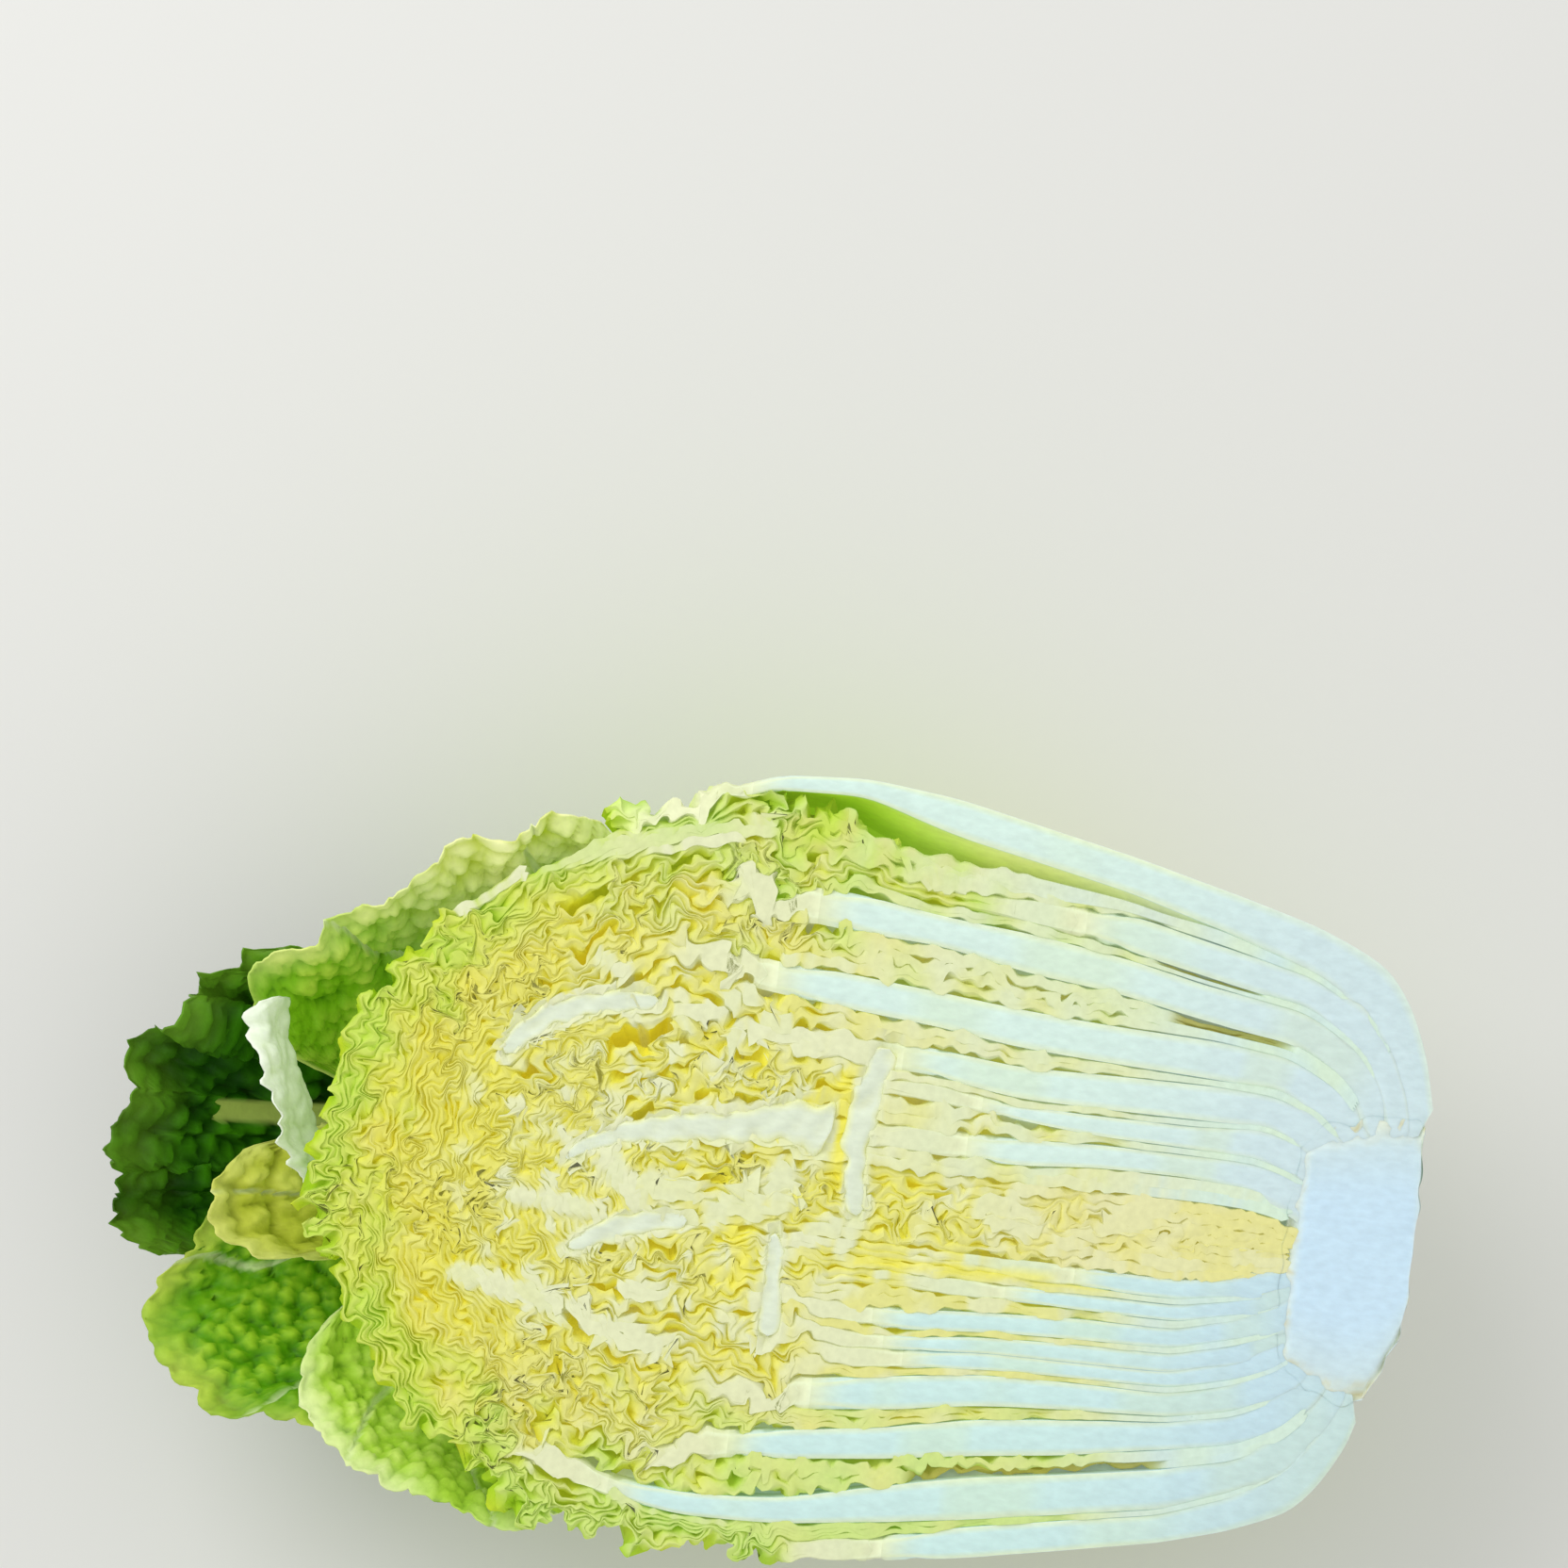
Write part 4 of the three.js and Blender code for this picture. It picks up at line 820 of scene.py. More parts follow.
def dips(name, at, hollow, seed):
    """How far the edge of each fold lies under the plane of the cut, in millimetres."""
    centre = on_ray(at.place, at.depth, at.share)
    solid = np.maximum(at.fill, at.shut)
    uneven = 0.1 + 0.45 * np.clip(0.5 + noise(centre, 6.5, 30, 71 + seed % 5), 0, 1.6)
    uneven = uneven + 0.4 * smooth(0.5, 1.2, noise(centre, 16, 30, 70)) + 0.6 * hollow
    level = 1 - mix(0.8, 0.97, smooth(20, 45, at.stem)) * at.closed
    drop = uneven * (1 - solid) * level + 0.12 * noise(centre, 12, 30, 72) * solid
    if name not in RIB_END and name != "heart":
        free = smooth(1.3, 0.7, at.spare) * smooth(20, 40, at.stem) * (1 - np.maximum(at.shut, at.closed))
        drop = drop + 2.6 * at.gap + 1.5 * free
    return drop


stick("heart", sample)
print("share of that fold's edge that sticks to its neighbour:", round(float(sample.closed[0].mean()), 2))


# %% Colours of the thin blades
def tone(colour, other, much):
    """Mixes another colour in, by its own amount at each point."""
    return mix(colour, other, much[..., None])


def blade_colour(name, points, at):
    """Pale yellow at the cut edge, a painted gold down between the folds for light that has passed through
    leaves, greener towards the outside.
    """
    depth = -points[..., 2]
    sided = mix(LEFT_GREEN.get(name, 0.0), RIGHT_GREEN.get(name, 0.0), smooth(60, 120, at.place))
    at_tip = smooth(-25, 25, at.place) * smooth(205, 155, at.place)
    green = mix(sided, smooth(0.7, 1.0, at.share), at_tip)
    at.green = np.clip(green + 0.2 * noise(points, 16, 30, 31) * (green > 0.02), 0, 1)
    colour = tone(three_shades(YELLOW, at.row_mm, depth), three_shades(GREEN, at.row_mm, depth), at.green)
    pale = smooth(0.0, 0.9, noise(points, 13, 20, 32)) * (1 - at.green) * smooth(2.2, 0.2, depth)
    colour = tone(colour, PALE, 0.75 * pale * mix(0.35, 1.0, smooth(0.75, 0.35, at.share)))
    return colour * tone(1.0, TIP_WARMTH, smooth(-5, -50, points[..., 0]))


def face_colour(name, points, at, colour):
    """The two outermost leaves of the left side part from each other, so their faces show."""
    if name == "back_leaf_1":
        left = at.place < 0
        leafy = smooth(-0.5, 0.3, noise(points, 12, 20, 35))
        leafy = leafy * smooth(10, 30, at.stem) * smooth(110, 85, at.stem)
        colour = tone(colour, LEAFY, 0.75 * leafy * left)
        colour = tone(colour, PALE_FACE, 0.8 * smooth(45, 75, at.stem) * left * (1 - 0.8 * leafy))
        torn = smooth(-0.4, 0.6, noise(points, 9, 20, 33)) * smooth(2.2, 0, at.row_mm) * (at.place < -12)
        colour = tone(colour, TORN, 0.4 * torn * smooth(120, 100, at.stem))
    if name == "left_leaf_1":
        far = tone(INNER_FACE[0], INNER_FACE[1], smooth(30, 75, at.stem))
        far = tone(far, INNER_FACE[2], smooth(75, 115, at.stem))
        colour = tone(colour, far, smooth(12, 25, at.stem))
    return colour


def closed_colour(name, points, at, colour):
    """Folds that stick together are paler, and go to the white of the stem beside the core."""
    creamy = 0.25 * smooth(112, 96, at.stem) * (at.place > 90)
    whiter = mix(0.5 * (at.place < 90), 0.9, smooth(96, 124, at.stem))
    shut_tint = tone(tone(CLOSED_WING, YELLOW[0], creamy), STEM_COLOUR, whiter)
    # Painted shade: closed folds are made darker down from the cut face.
    shut_tint = shut_tint * (1 - 0.12 * smooth(0.3, 3, -points[..., 2])[..., None])
    colour = tone(colour, shut_tint, at.shut)
    vein_tint = tone(VEIN_WHITE, YELLOW[0], 0.35 * smooth(0.2, 1.6, at.row_mm))
    colour = tone(colour, vein_tint, 0.8 * at.vein**1.5 * (1 - 0.5 * at.green))
    white = np.where(at.place < 90, smooth(25, 60, at.stem), 0.2 + 0.6 * smooth(80, 115, at.stem))
    wing = np.maximum(at.closed - at.vein, 0) * white * (name != "heart")
    if name == "heart":
        colour = tone(colour, HEART_CREAM, 0.5 * smooth(60, 95, at.stem))
    if name in RIB_END:
        wing = 1.2 * smooth(0.2, 0.9, at.closed)
    colour = tone(colour, tone(PALE, CLOSED_WING, smooth(30, 90, at.stem)), 0.8 * wing)
    colour = tone(colour, DEEP_GOLD, 0.65 * golden(points) * smooth(5, 1, at.row_mm))
    # Open gaps are painted a darker olive, as painted shade.
    return tone(colour, SLIT_SHADE, 0.8 * at.gap)


sample_points = on_ray(sample.place, sample.depth, sample.share)
sample_tint = blade_colour("heart", sample_points, sample)
print("mean blade colour of that fold, linear:", np.round(sample_tint.mean(axis=(0, 1)), 3))


# %% Colours of the midribs, and of a whole sheet
def rib_colour(points, at):
    """White and cool, with faint streaks of sap along it, a thin greenish skin at its border and painted
    shade lower down.
    """
    depth = -points[..., 2]
    rib = tone(RIB_COLOUR, STEM_COLOUR, smooth(80, 150, at.stem))
    rib = rib * tone(1.0, RIGHT_SHADE, smooth(60, 120, at.place))
    rib = tone(VEIN_WHITE, rib, smooth(0.3, 0.95, at.fill))
    streak = smooth(0.3, 1.0, noise(np.stack([at.place / 9, at.share * 160, depth / 20], -1), 6, 50, 34))
    rib = tone(rib, SAP_COLOUR, 0.2 * streak)
    rib = rib * tone(0.87, 1.0, smooth(0.3, 0.45, at.fill))
    rib = tone(rib, RIB_BORDER, at.border * mix(0.8, 0.4, smooth(95, 135, at.stem)))
    # Painted shade: the rib is made darker down from the cut face.
    return rib * (1 - 0.1 * smooth(0, 8, depth)[..., None])


def paint(name, points, at):
    """The colour of each point of a leaf of the head. face is 0 outside and 1 inside."""
    colour = face_colour(name, points, at, blade_colour(name, points, at))
    colour = closed_colour(name, points, at, colour)
    near_core = smooth(98, 132, at.stem) * (name != "heart")
    colour = colour * tone(0.86, CORE_SHADE, near_core)
    rib_mm = mix(5, 50, smooth(0, 90, at.stem))
    amount = smooth(0.02, 0.3, at.fill)
    amount = amount * mix(1.0, smooth(1.5, 0.5, at.row_mm / rib_mm), at.face == 0)
    if name == "left_leaf_1":
        # This leaf's colour is made 1.14 times as light, as painted light for its inner face in the shaded
        # hollow.
        colour = 1.14 * colour
        amount = amount * (1 - (at.face == 1) * smooth(0.3, 1.2, at.row_mm))
    return tone(colour, rib_colour(points, at), amount)


sample.border = sample.face = 0 * sample.fill
sample_tint = paint("heart", sample_points, sample)
print("and once it is painted:", np.round(sample_tint.mean(axis=(0, 1)), 3))


# %% Make one sheet of a leaf
def over_the_cut(name, outer, inner):
    """Rows up the outer face, over the cut and down the inner face."""
    cut = [mix(outer[:1], inner[:1], part) for part in CUT_ROWS] if name in RIB_END else []
    return np.concatenate([outer[::-1]] + cut + [inner], axis=0)


def head_sheet(name, fold, folds, seed, deep_rows):
    at = sheet_grid(name, fold, folds, seed, deep_rows)
    stick(name, at)
    hollow = smooth(0.25, 1.0, noise(on_ray(at.place, at.depth, at.share), 6.5, 12, 60))
    thick = thickness(at, hollow)
    at.drop = dips(name, at, hollow, seed)
    rim = (at.row_mm == 0) * np.minimum(0.2 * thick, mix(0.3, 0.06, at.vein))
    closing = np.ones_like(thick)
    closing[-1] = closing[:, 0] = closing[:, -1] = 0
    outer_half = closing * np.maximum(thick - rim, 0.05) / 2
    inner_half = outer_half
    if name == "left_leaf_1":
        slant = smooth(0.2, 8, at.row_mm) * smooth(22, 45, at.stem) * smooth(140, 110, at.stem)
        inner_half = outer_half + 4.2 * closing * slant
    outer, inner = (
        crumple(on_ray(at.place, at.depth, (at.middle + half) / at.length), at.much)
        for half in (outer_half, -inner_half)
    )
    points = over_the_cut(name, outer, inner)
    skin = SimpleNamespace(**{key: over_the_cut(name, v, v) for key, v in vars(at).items()})
    skin.face = over_the_cut(name, 0 * thick, 0 * thick + 1)
    skin.border = (skin.row_mm == 0) & ((skin.face == 0) | (skin.face == 1))
    drop = skin.drop + 1.5 * smooth(0.1, 1.2, under_bars(points))
    points[..., 2] -= drop * np.exp(-skin.row_mm / 3.0)
    points[..., 2] -= 0.25 * skin.border * skin.fill
    is_rib = (skin.fill[:-1, :-1] > 0.4) & (skin.fill[1:, 1:] > 0.4)
    return grid_piece(f"{name}_{fold}", points, paint(name, points, skin), [BLADE, CUT_RIB], is_rib)


print("rows of a midrib leaf's sheet:", len(over_the_cut("left_leaf_3", sample.share, sample.share)))


# %% Make every leaf of the head
DEEP_ROWS = 8  # rows under the cut's for the leaves whose outside shows; the others need one
total = 0
for number, name in enumerate(ORDER):
    folds = FOLDS.get(name, 2)
    seen = name in ("left_leaf_1", "right_leaf_1", "back_leaf_1")
    parts = []
    for fold in range(folds):
        outermost = fold == folds - 1 or name in RIB_END
        deep_rows = DEEP_ROWS if seen and outermost else 1
        parts.append(head_sheet(name, fold, folds, 7 * number + fold, deep_rows))
    piece = joined(f"{name}_look", parts)
    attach(piece, "root")
    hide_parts(name)
    total += triangles(piece)
print("triangles in the head's leaves:", total)

# %% [markdown]
# ## The cut bars of inner midribs
# Each bar is a thick midrib cut along: flat and flush on the cut face, rounded along its top edges, and
# narrower below. The grid winds round the bar's section, from one foot over the top to the other.

# %% One bar
# Half of the bar's section, from its foot to the middle of its top, as [across, down] from -1 to 0.
BAR_SECTION = [
    (-1, -1.0), (-0.97, -0.5), (-1, -0.1), (-0.97, -0.04), (-0.88, -0.012), (-0.7, 0), (-0.45, 0), (-0.2, 0),
]
BAR_ROWS = BAR_SECTION + [(0, 0)] + [(-a, d) for a, d in reversed(BAR_SECTION)] + BAR_SECTION[:1]
BAR_STEP = 0.7
RAGGED = 0.2  # how far a bar's width wanders, as a share of it
BLUNT_MM = 2.2  # how far its thicker end is rounded off


def bar_middle(knots):
    """Points along a bar's middle, with its width there and how far along they are."""
    run = np.r_[0, np.cumsum(np.linalg.norm(np.diff(knots[:, :2], axis=0), axis=1))]
    spots = np.linspace(0, run[-1], max(14, int(run[-1] / BAR_STEP)))
    reach = min(5, len(spots) // 3)
    bell = np.hanning(2 * reach + 1)[1:-1] / np.hanning(2 * reach + 1).sum()
    x, y, width = (
        np.convolve(
            np.pad(np.interp(spots, run, knots[:, k]), reach - 1, mode="reflect", reflect_type="odd"),
            bell, "valid",
        )
        for k in range(3)
    )
    return x, y, width, spots


def cut_bar(knots, seed):
    x, y, width, spots = bar_middle(knots)
    end = np.minimum(spots, spots[-1] - spots)
    corner = np.where(spots > spots[-1] / 2, np.minimum(width / 2, BLUNT_MM), width / 2)
    blunt = np.clip(end / np.minimum(corner, spots[-1] / 2.2), 0, 1)
    width = width * np.sqrt(1 - (1 - blunt) ** 2)
    tangent = np.stack([np.gradient(x), np.gradient(y)], -1)
    tangent /= np.linalg.norm(tangent, axis=1, keepdims=True)
    normal = np.stack([-tangent[:, 1], tangent[:, 0]], -1)
    line = np.stack([x, y, 0 * x], -1)
    rows = []
    for across, down in BAR_ROWS:
        taper = mix(1.0, BAR_TAPER, -down) if down < -0.2 else 1.0
        wavy = 1 + RAGGED * noise(line + [7.0 * np.sign(across), 0, 0], 6, 30, seed)
        side = normal * (across * width / 2 * taper * wavy)[:, None]
        rows.append(np.column_stack([x + side[:, 0], y + side[:, 1], np.full_like(x, down * BAR_DEPTH)]))
    points = np.array(rows)[::-1]
    points[..., 2] += (0.3 * noise(points, 6, 20, seed + 1) - 0.35) * (points[..., 2] > -2.5)
    return points


print("points round a bar's section:", len(BAR_ROWS))


# %% Make the bars
BAR_WHITE, BAR_EDGE = linear("#d4ddc8"), linear("#dde09c")
across = np.abs([a for a, d in BAR_ROWS][::-1])
for number, (name, knots) in enumerate(zip(BARS, BAR_LINES)):
    points = cut_bar(knots, 80 + number)
    side = across[:, None] * np.ones(points.shape[1])
    tint = tone(BAR_WHITE, BAR_EDGE, 0.7 * smooth(0.5, 0.95, side))
    tint = tone(tint, YELLOW[0], 0.6 * smooth(0.3, 2.0, -points[..., 2]))
    piece = grid_piece(f"{name}_look", points, tint, [CUT_RIB])
    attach(piece, "root")
    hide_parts(name)
    print(name, "triangles:", triangles(piece))

# %% [markdown]
# ## The core
# The core is solid white tissue, smooth where the knife went through. It could be a turned half cylinder,
# but its two sides differ, so a grid winds round a half circle and back across the flat. Its border is
# sunk a little, because the leaves grow out of it there.

# %% Outline of the core, as [x, distance from the axis]
CORE_LEFT = [
    [137, 0], [137, 6], [137.4, 12], [138.4, 23], [141.4, 28], [150, 31], [158, 33], [163, 33], [165, 31],
    [165.3, 15], [165.2, 0],
]
CORE_RIGHT = [
    [137, 0], [137, 5], [137.2, 10], [138.2, 20], [141, 26], [149, 30.4], [154, 31.4], [158.5, 29.6],
    [162, 22], [165, 14], [165.2, 0],
]
CORE_RISE = 0.15
CORE_ALONG, CORE_AROUND = 90, 49


def evenly(knots):
    """The outline as evenly spaced points."""
    run = np.r_[0, np.cumsum(np.linalg.norm(np.diff(knots, axis=0), axis=1))]
    spots = np.linspace(0, 1, CORE_ALONG) * run[-1]
    return np.stack([np.interp(spots, run, knots[:, k]) for k in range(2)], -1)


left_edge, right_edge = evenly(np.array(CORE_LEFT)), evenly(np.array(CORE_RIGHT))
rows = []
for turn in np.linspace(0, np.pi, CORE_AROUND):
    line = mix(left_edge, right_edge, (1 - math.cos(turn)) / 2)
    radius = line[:, 1]
    rows.append(np.column_stack([line[:, 0], radius * math.cos(turn), -radius * math.sin(turn) + CORE_RISE]))
across = np.linspace(-1, 1, CORE_AROUND)
for step in across:
    part = (1 + step) / 2
    y = mix(-right_edge[:, 1], left_edge[:, 1], part)
    rows.append(np.column_stack([mix(right_edge, left_edge, part)[:, 0], y, np.full_like(y, CORE_RISE)]))
points = np.array(rows)
print("core is", round(np.ptp(points[..., 0]), 1), "mm long")

# %% Roughen, sink the border, colour and finish the core
CORE_COOL, CORE_CREAM, CORE_SPECK = linear("#c2dae8"), linear("#dcdfc0"), linear("#c8bc80")
border = np.abs(np.r_[np.ones(CORE_AROUND), across])[:, None] * np.ones(CORE_ALONG)
on_top = np.r_[np.zeros(CORE_AROUND), np.ones(CORE_AROUND)][:, None]
rough = 0.5 * noise(points, 14, 20, 90) + 0.25 * noise(points, 5, 20, 91)
edge_wave = np.stack([noise(points, 8, 12, 92), noise(points, 8, 12, 93), 0 * rough], -1) * 0.5
points += edge_wave * smooth(0.6, 1.0, border)[..., None]
near_edge = np.maximum(smooth(0.78, 1.0, border), smooth(141.5, 138, points[..., 0]))
points[..., 2] += on_top * (0.1 * rough + 0.45 - 1.3 * near_edge * (1 + 0.5 * noise(points, 6, 20, 95)))
speck = smooth(0.35, 1.0, noise(points * [0.4, 1.6, 1.0], 3.5, 9, 94)) * near_edge
inward = smooth(0.95, 0.35, border) * smooth(0.0, 0.3, np.linspace(0, 1, CORE_ALONG))[None]
tint = tone(STEM_COLOUR, CORE_COOL, inward)
tint = tone(tint, CORE_CREAM, 0.7 * on_top * near_edge)
tint = tone(tint, CORE_SPECK, 0.7 * speck)
core = grid_piece("core_look", points, tint, [CUT_RIB])
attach(core, "root")
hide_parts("core")
print("core triangles:", triangles(core))

# %% [markdown]
# ## Loose outer leaves
# Leaves that are no longer pressed against the head flare out at its tip. Their tissue has grown faster
# than their veins, so it swells into round blisters between them, and the free margin has frilled and
# torn. Sculpting could do this, but here it is worked out: each leaf is a fine grid over the same rays,
# then moved along its own normals by ruffles and blisters. The blisters are the cells of scattered
# points, high in the middle and low where a vein passes between two of them.

# %% Blisters between veins
def blisters(points, cell, seed):
    """0 in the creases between cells and 1 on top of a blister. The cells are round in space."""
    scatter = np.random.default_rng(seed).random((16, 16, 16, 3))
    spot = points / cell
    home = np.floor(spot).astype(int)
    near = np.full(spot.shape[:-1], 9.0)
    next_near = near.copy()
    for step in np.ndindex(3, 3, 3):
        box = home + np.array(step) - 1
        key = box % 16
        gap = np.linalg.norm(spot - box - scatter[key[..., 0], key[..., 1], key[..., 2]], axis=-1)
        next_near = np.minimum(next_near, np.maximum(near, gap))
        near = np.minimum(near, gap)
    flat = 1 - (1 - np.clip((next_near - near) / 0.5, 0, 1)) ** 2
    return 0.4 * flat + 0.6 * np.clip(1.1 - 1.3 * near**2, 0, 1)


along = np.stack([np.arange(0, 60, 0.5)] * 3, -1)
print("mean height of the blisters on a line:", round(float(blisters(along, 6.0, 1).mean()), 2))


# %% Directions on a grid of points
def unit(vectors):
    return vectors / np.maximum(np.linalg.norm(vectors, axis=-1, keepdims=True), 1e-9)


def grid_normals(points, away_from):
    """Unit normals of a grid of points, turned away from a point near its first row."""
    normal = unit(np.cross(np.gradient(points, axis=1), np.gradient(points, axis=0)))
    outward = points[:3] - away_from
    return normal if (normal[:3] * outward).sum() > 0 else -normal


print("a unit vector:", unit(np.array([3.0, 4.0, 0.0])))


# %% Shades of the loose leaves: crease, blade, blister top, margin; the crease is painted shade and the blister top painted light
SHADES = {
    "outer_pale_leaf": ["#3c7a04", "#7eb81a", "#b8d64a", "#e0ea8c"],
    "outer_white_leaf": ["#cfe0b0", "#e0ecd0", "#e8f2de", "#ecf3e2"],
    "outer_olive_leaf": ["#808c14", "#b6bf3c", "#cfd560", "#dfe284"],
    "outer_green_leaf": ["#1c4c00", "#549408", "#9cc82c", "#ccdb5c"],
    "outer_long_leaf": ["#5c8c10", "#a6ce3c", "#c8e26c", "#e2edb0"],
    "outer_keel_leaf": ["#021400", "#0e3e00", "#3c800a", "#6c9a26"],
}
VEIN_COLOUR = linear("#dbe8b4")
# The pale leaf's warm part, with the same painted shade in its creases and painted light on its blister
# tops.
WARM_CREASE, WARM_TOP = linear("#b4c42e"), linear("#e8ecac")


def leaf_shade(name, dome, margin, much):
    """Mixes a leaf's four shades by blister height, nearness to the margin and slow noise. Creases are
    painted dark as painted shade, and blister tops light as painted light.
    """
    crease, blade, top, edge = (linear(code) for code in SHADES[name])
    colour = tone(crease, blade, smooth(0.0, 0.5, dome))
    colour = tone(colour, top, smooth(0.45, 1.0, dome) * np.clip(0.75 + 0.4 * much, 0, 1))
    return 0.92 * tone(colour, edge, 0.8 * smooth(0.86, 1.0, margin) * np.clip(0.7 + 0.4 * much, 0, 1))


print("leaves with shades of their own:", list(SHADES))


# %% The grid of a loose leaf, and its veins
LOOSE_STEP = 0.75
MM_PER_DEGREE = 1.5  # round the tip, at the head's outline


def loose_grid(rows):
    """Places and heights over the grid of a leaf, and the smooth sheet before any blister or ruffle."""
    table = np.array(rows, float)
    first, last = table[0, 0], table[-1, 0]
    columns = int((last - first) * MM_PER_DEGREE / LOOSE_STEP)
    count = int((table[:, 2] - table[:, 1]).max() * 1.35 / LOOSE_STEP)
    angle, t = np.meshgrid(np.linspace(first, last, columns), np.linspace(0, 1, count))
    bell = np.hanning(15) / np.hanning(15).sum()
    rim, foot, foot_share, rim_share = (
        np.convolve(np.pad(np.interp(angle[0], table[:, 0], table[:, k]), 7, mode="edge"), bell, "valid")
        for k in range(1, 5)
    )
    middle = on_ray(angle, np.radians(mix(foot, rim, t)), mix(foot_share, rim_share, t**1.5))
    return angle, t, count, middle


def near_veins(angle, t, v, veins, seed):
    """1 on a vein of the leaf and 0 beside it. veins are [place at foot, place at rim, width]."""
    much = np.zeros_like(angle)
    for at_foot, at_rim, width in veins:
        wander = 1.2 * noise(np.stack([0 * v + at_foot, v, 0 * v], -1), 22, 50, seed)
        gap = np.abs(angle - (mix(at_foot, at_rim, t) + wander)) * MM_PER_DEGREE
        much = np.maximum(much, smooth(1.0, 0.35, gap / (width * mix(1.0, 0.35, t))))
    return much


print("points along 40 degrees of a loose leaf:", int(40 * MM_PER_DEGREE / LOOSE_STEP))


# %% One loose leaf
LOOSE_THICK = 0.7


def loose_leaf(name, rows, ruffle, ruffle_mm, blister_mm, blister_rise, veins, seed):
    """rows are [angle, rim depth, foot depth, share at foot, share at rim], all angles in degrees."""
    angle, t, count, middle = loose_grid(rows)
    normal = grid_normals(middle, np.array([0.0, 0.0, -30.0]))
    up = unit(np.gradient(middle, axis=0))
    v = t * count * LOOSE_STEP
    flat = np.stack([angle * MM_PER_DEGREE, v * 0.6, 0 * v], -1)
    dome = blisters(middle, blister_mm, seed)
    small = blisters(middle, blister_mm * 0.5, seed + 4)
    lobe = blisters(middle[-1:], 0.75 * ruffle_mm, seed + 9)
    vein = near_veins(angle, t, v, veins, seed + 6)
    edge = np.minimum(np.minimum(angle - angle[0, 0], angle[0, -1] - angle) * MM_PER_DEGREE / 3.0, 1)
    rise = 1.7 * blister_rise * (1.15 * dome + 0.45 * small) * (1 - 0.8 * vein) * edge
    frill = 0.8 * noise(flat, 1.6 * ruffle_mm, 50, seed) + 0.6 * (lobe - 0.5)
    lift = ruffle * t**2 * frill - rise * mix(1.0, 0.4, smooth(0.85, 1.0, t))
    jagged = 1.3 if name == "outer_white_leaf" else 0.2
    tear = t**3 * (0.3 * ruffle_mm * (lobe - 0.6) + jagged * noise(flat * [1, 0, 1], 3.0, 50, seed + 7))
    middle = middle + normal * lift[..., None] + up * tear[..., None]
    middle[..., 2] = np.minimum(middle[..., 2], -0.4)
    closing = np.minimum(1, t * count)
    closing[0] = closing[:, 0] = closing[:, -1] = 0
    half = (closing * LOOSE_THICK / 2 * mix(1.0, 0.6, t**6))[..., None]
    points = np.concatenate([middle + normal * half, (middle - normal * half)[::-1]], axis=0)
    tint = leaf_shade(name, 0.7 * dome + 0.3 * small, t, noise(flat, 24, 50, seed + 8))
    if name == "outer_pale_leaf":
        tint = tone(tint, tone(WARM_CREASE, WARM_TOP, dome), smooth(66, 34, angle) * smooth(0.1, 0.7, t))
    tint = tone(tint, VEIN_COLOUR, 0.6 * vein)
    piece = grid_piece(f"{name}_look", points, np.concatenate([tint, tint[::-1]], axis=0), [BLADE])
    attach(piece, "root")
    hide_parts(name)
    return piece


print("a loose leaf is", LOOSE_THICK, "mm thick")


# %% The five loose leaves round the tip
LOOSE = [
    (
        "outer_pale_leaf", "pale_leaf", 2.6, 12, 6.0, 1.7, [(32, 28, 1.6), (55, 60, 1.4)],
        [
            [14, 26, 36, 1.02, 1.03], [20, 6, 36, 1.02, 1.04], [30, 1, 36, 1.02, 1.08],
            [45, 2, 36, 1.02, 1.11], [55, 3, 43, 1.02, 1.18], [62, 4, 48, 1.03, 1.22],
            [72, 6, 50, 1.09, 1.31], [78, 14, 50, 1.12, 1.3], [83, 34, 46, 1.14, 1.2],
        ],
    ),
    (
        "outer_white_leaf", "white_leaf", 1.6, 9, 6.5, 0.6, [],
        [
            [72, 9, 13, 1.22, 1.23], [75, 3, 12, 1.21, 1.26], [79, 1, 12, 1.16, 1.21],
            [84, 2, 14, 1.09, 1.14], [92, 4, 18, 1.05, 1.08], [99, 14, 24, 1.02, 1.04],
        ],
    ),
    (
        "outer_olive_leaf", "pale_leaf", 1.8, 12, 7.0, 1.8, [(101, 100, 1.0)],
        [
            [90, 30, 46, 1.05, 1.12], [95, 10, 46, 1.04, 1.26], [99, 8, 46, 1.03, 1.32],
            [105, 8, 46, 1.02, 1.32], [110, 12, 44, 1.02, 1.2], [113, 26, 44, 1.02, 1.09],
        ],
    ),
    (
        "outer_green_leaf", "green_leaf", 3.0, 13, 4.0, 1.6, [(118, 108, 1.6), (132, 128, 1.2)],
        [
            [93, 48, 60, 1.08, 1.12], [97, 26, 60, 1.08, 1.3], [102, 21, 60, 1.08, 1.4],
            [109, 17, 56, 1.08, 1.55], [115, 15, 46, 1.08, 1.64], [122, 13, 42, 1.09, 1.58],
            [132, 15, 40, 1.09, 1.36], [141, 22, 40, 1.09, 1.2], [147, 34, 40, 1.09, 1.12],
        ],
    ),
    (
        "outer_long_leaf", "pale_leaf", 1.6, 10, 4.6, 1.3, [(128, 140, 1.8), (146, 160, 1.5)],
        [
            [119, 28, 38, 1.02, 1.08], [124, 10, 38, 1.02, 1.19], [135, 5, 38, 1.02, 1.24],
            [150, 4, 38, 1.02, 1.15], [165, 5, 38, 1.02, 1.08], [171, 14, 38, 1.02, 1.04],
            [175, 30, 38, 1.02, 1.02],
        ],
    ),
]
for number, (name, slot, ruffle, ruffle_mm, blister_mm, blister_rise, veins, rows) in enumerate(LOOSE):
    piece = loose_leaf(name, rows, ruffle, ruffle_mm, blister_mm, blister_rise, veins, 200 + 10 * number)
    print(name, "triangles:", triangles(piece))

# %% [markdown]
# ## The keel leaf
# The outermost leaf cradles the half from below. Its broad white midrib runs along the keel and is the
# flat spot that the half rests on. At the tip its blade stands free and is dark green and blistered. It
# is one grid like the loose leaves, but it winds round the whole head, from one side of the stem round
# the tip to the other, and all its columns meet at the keel.

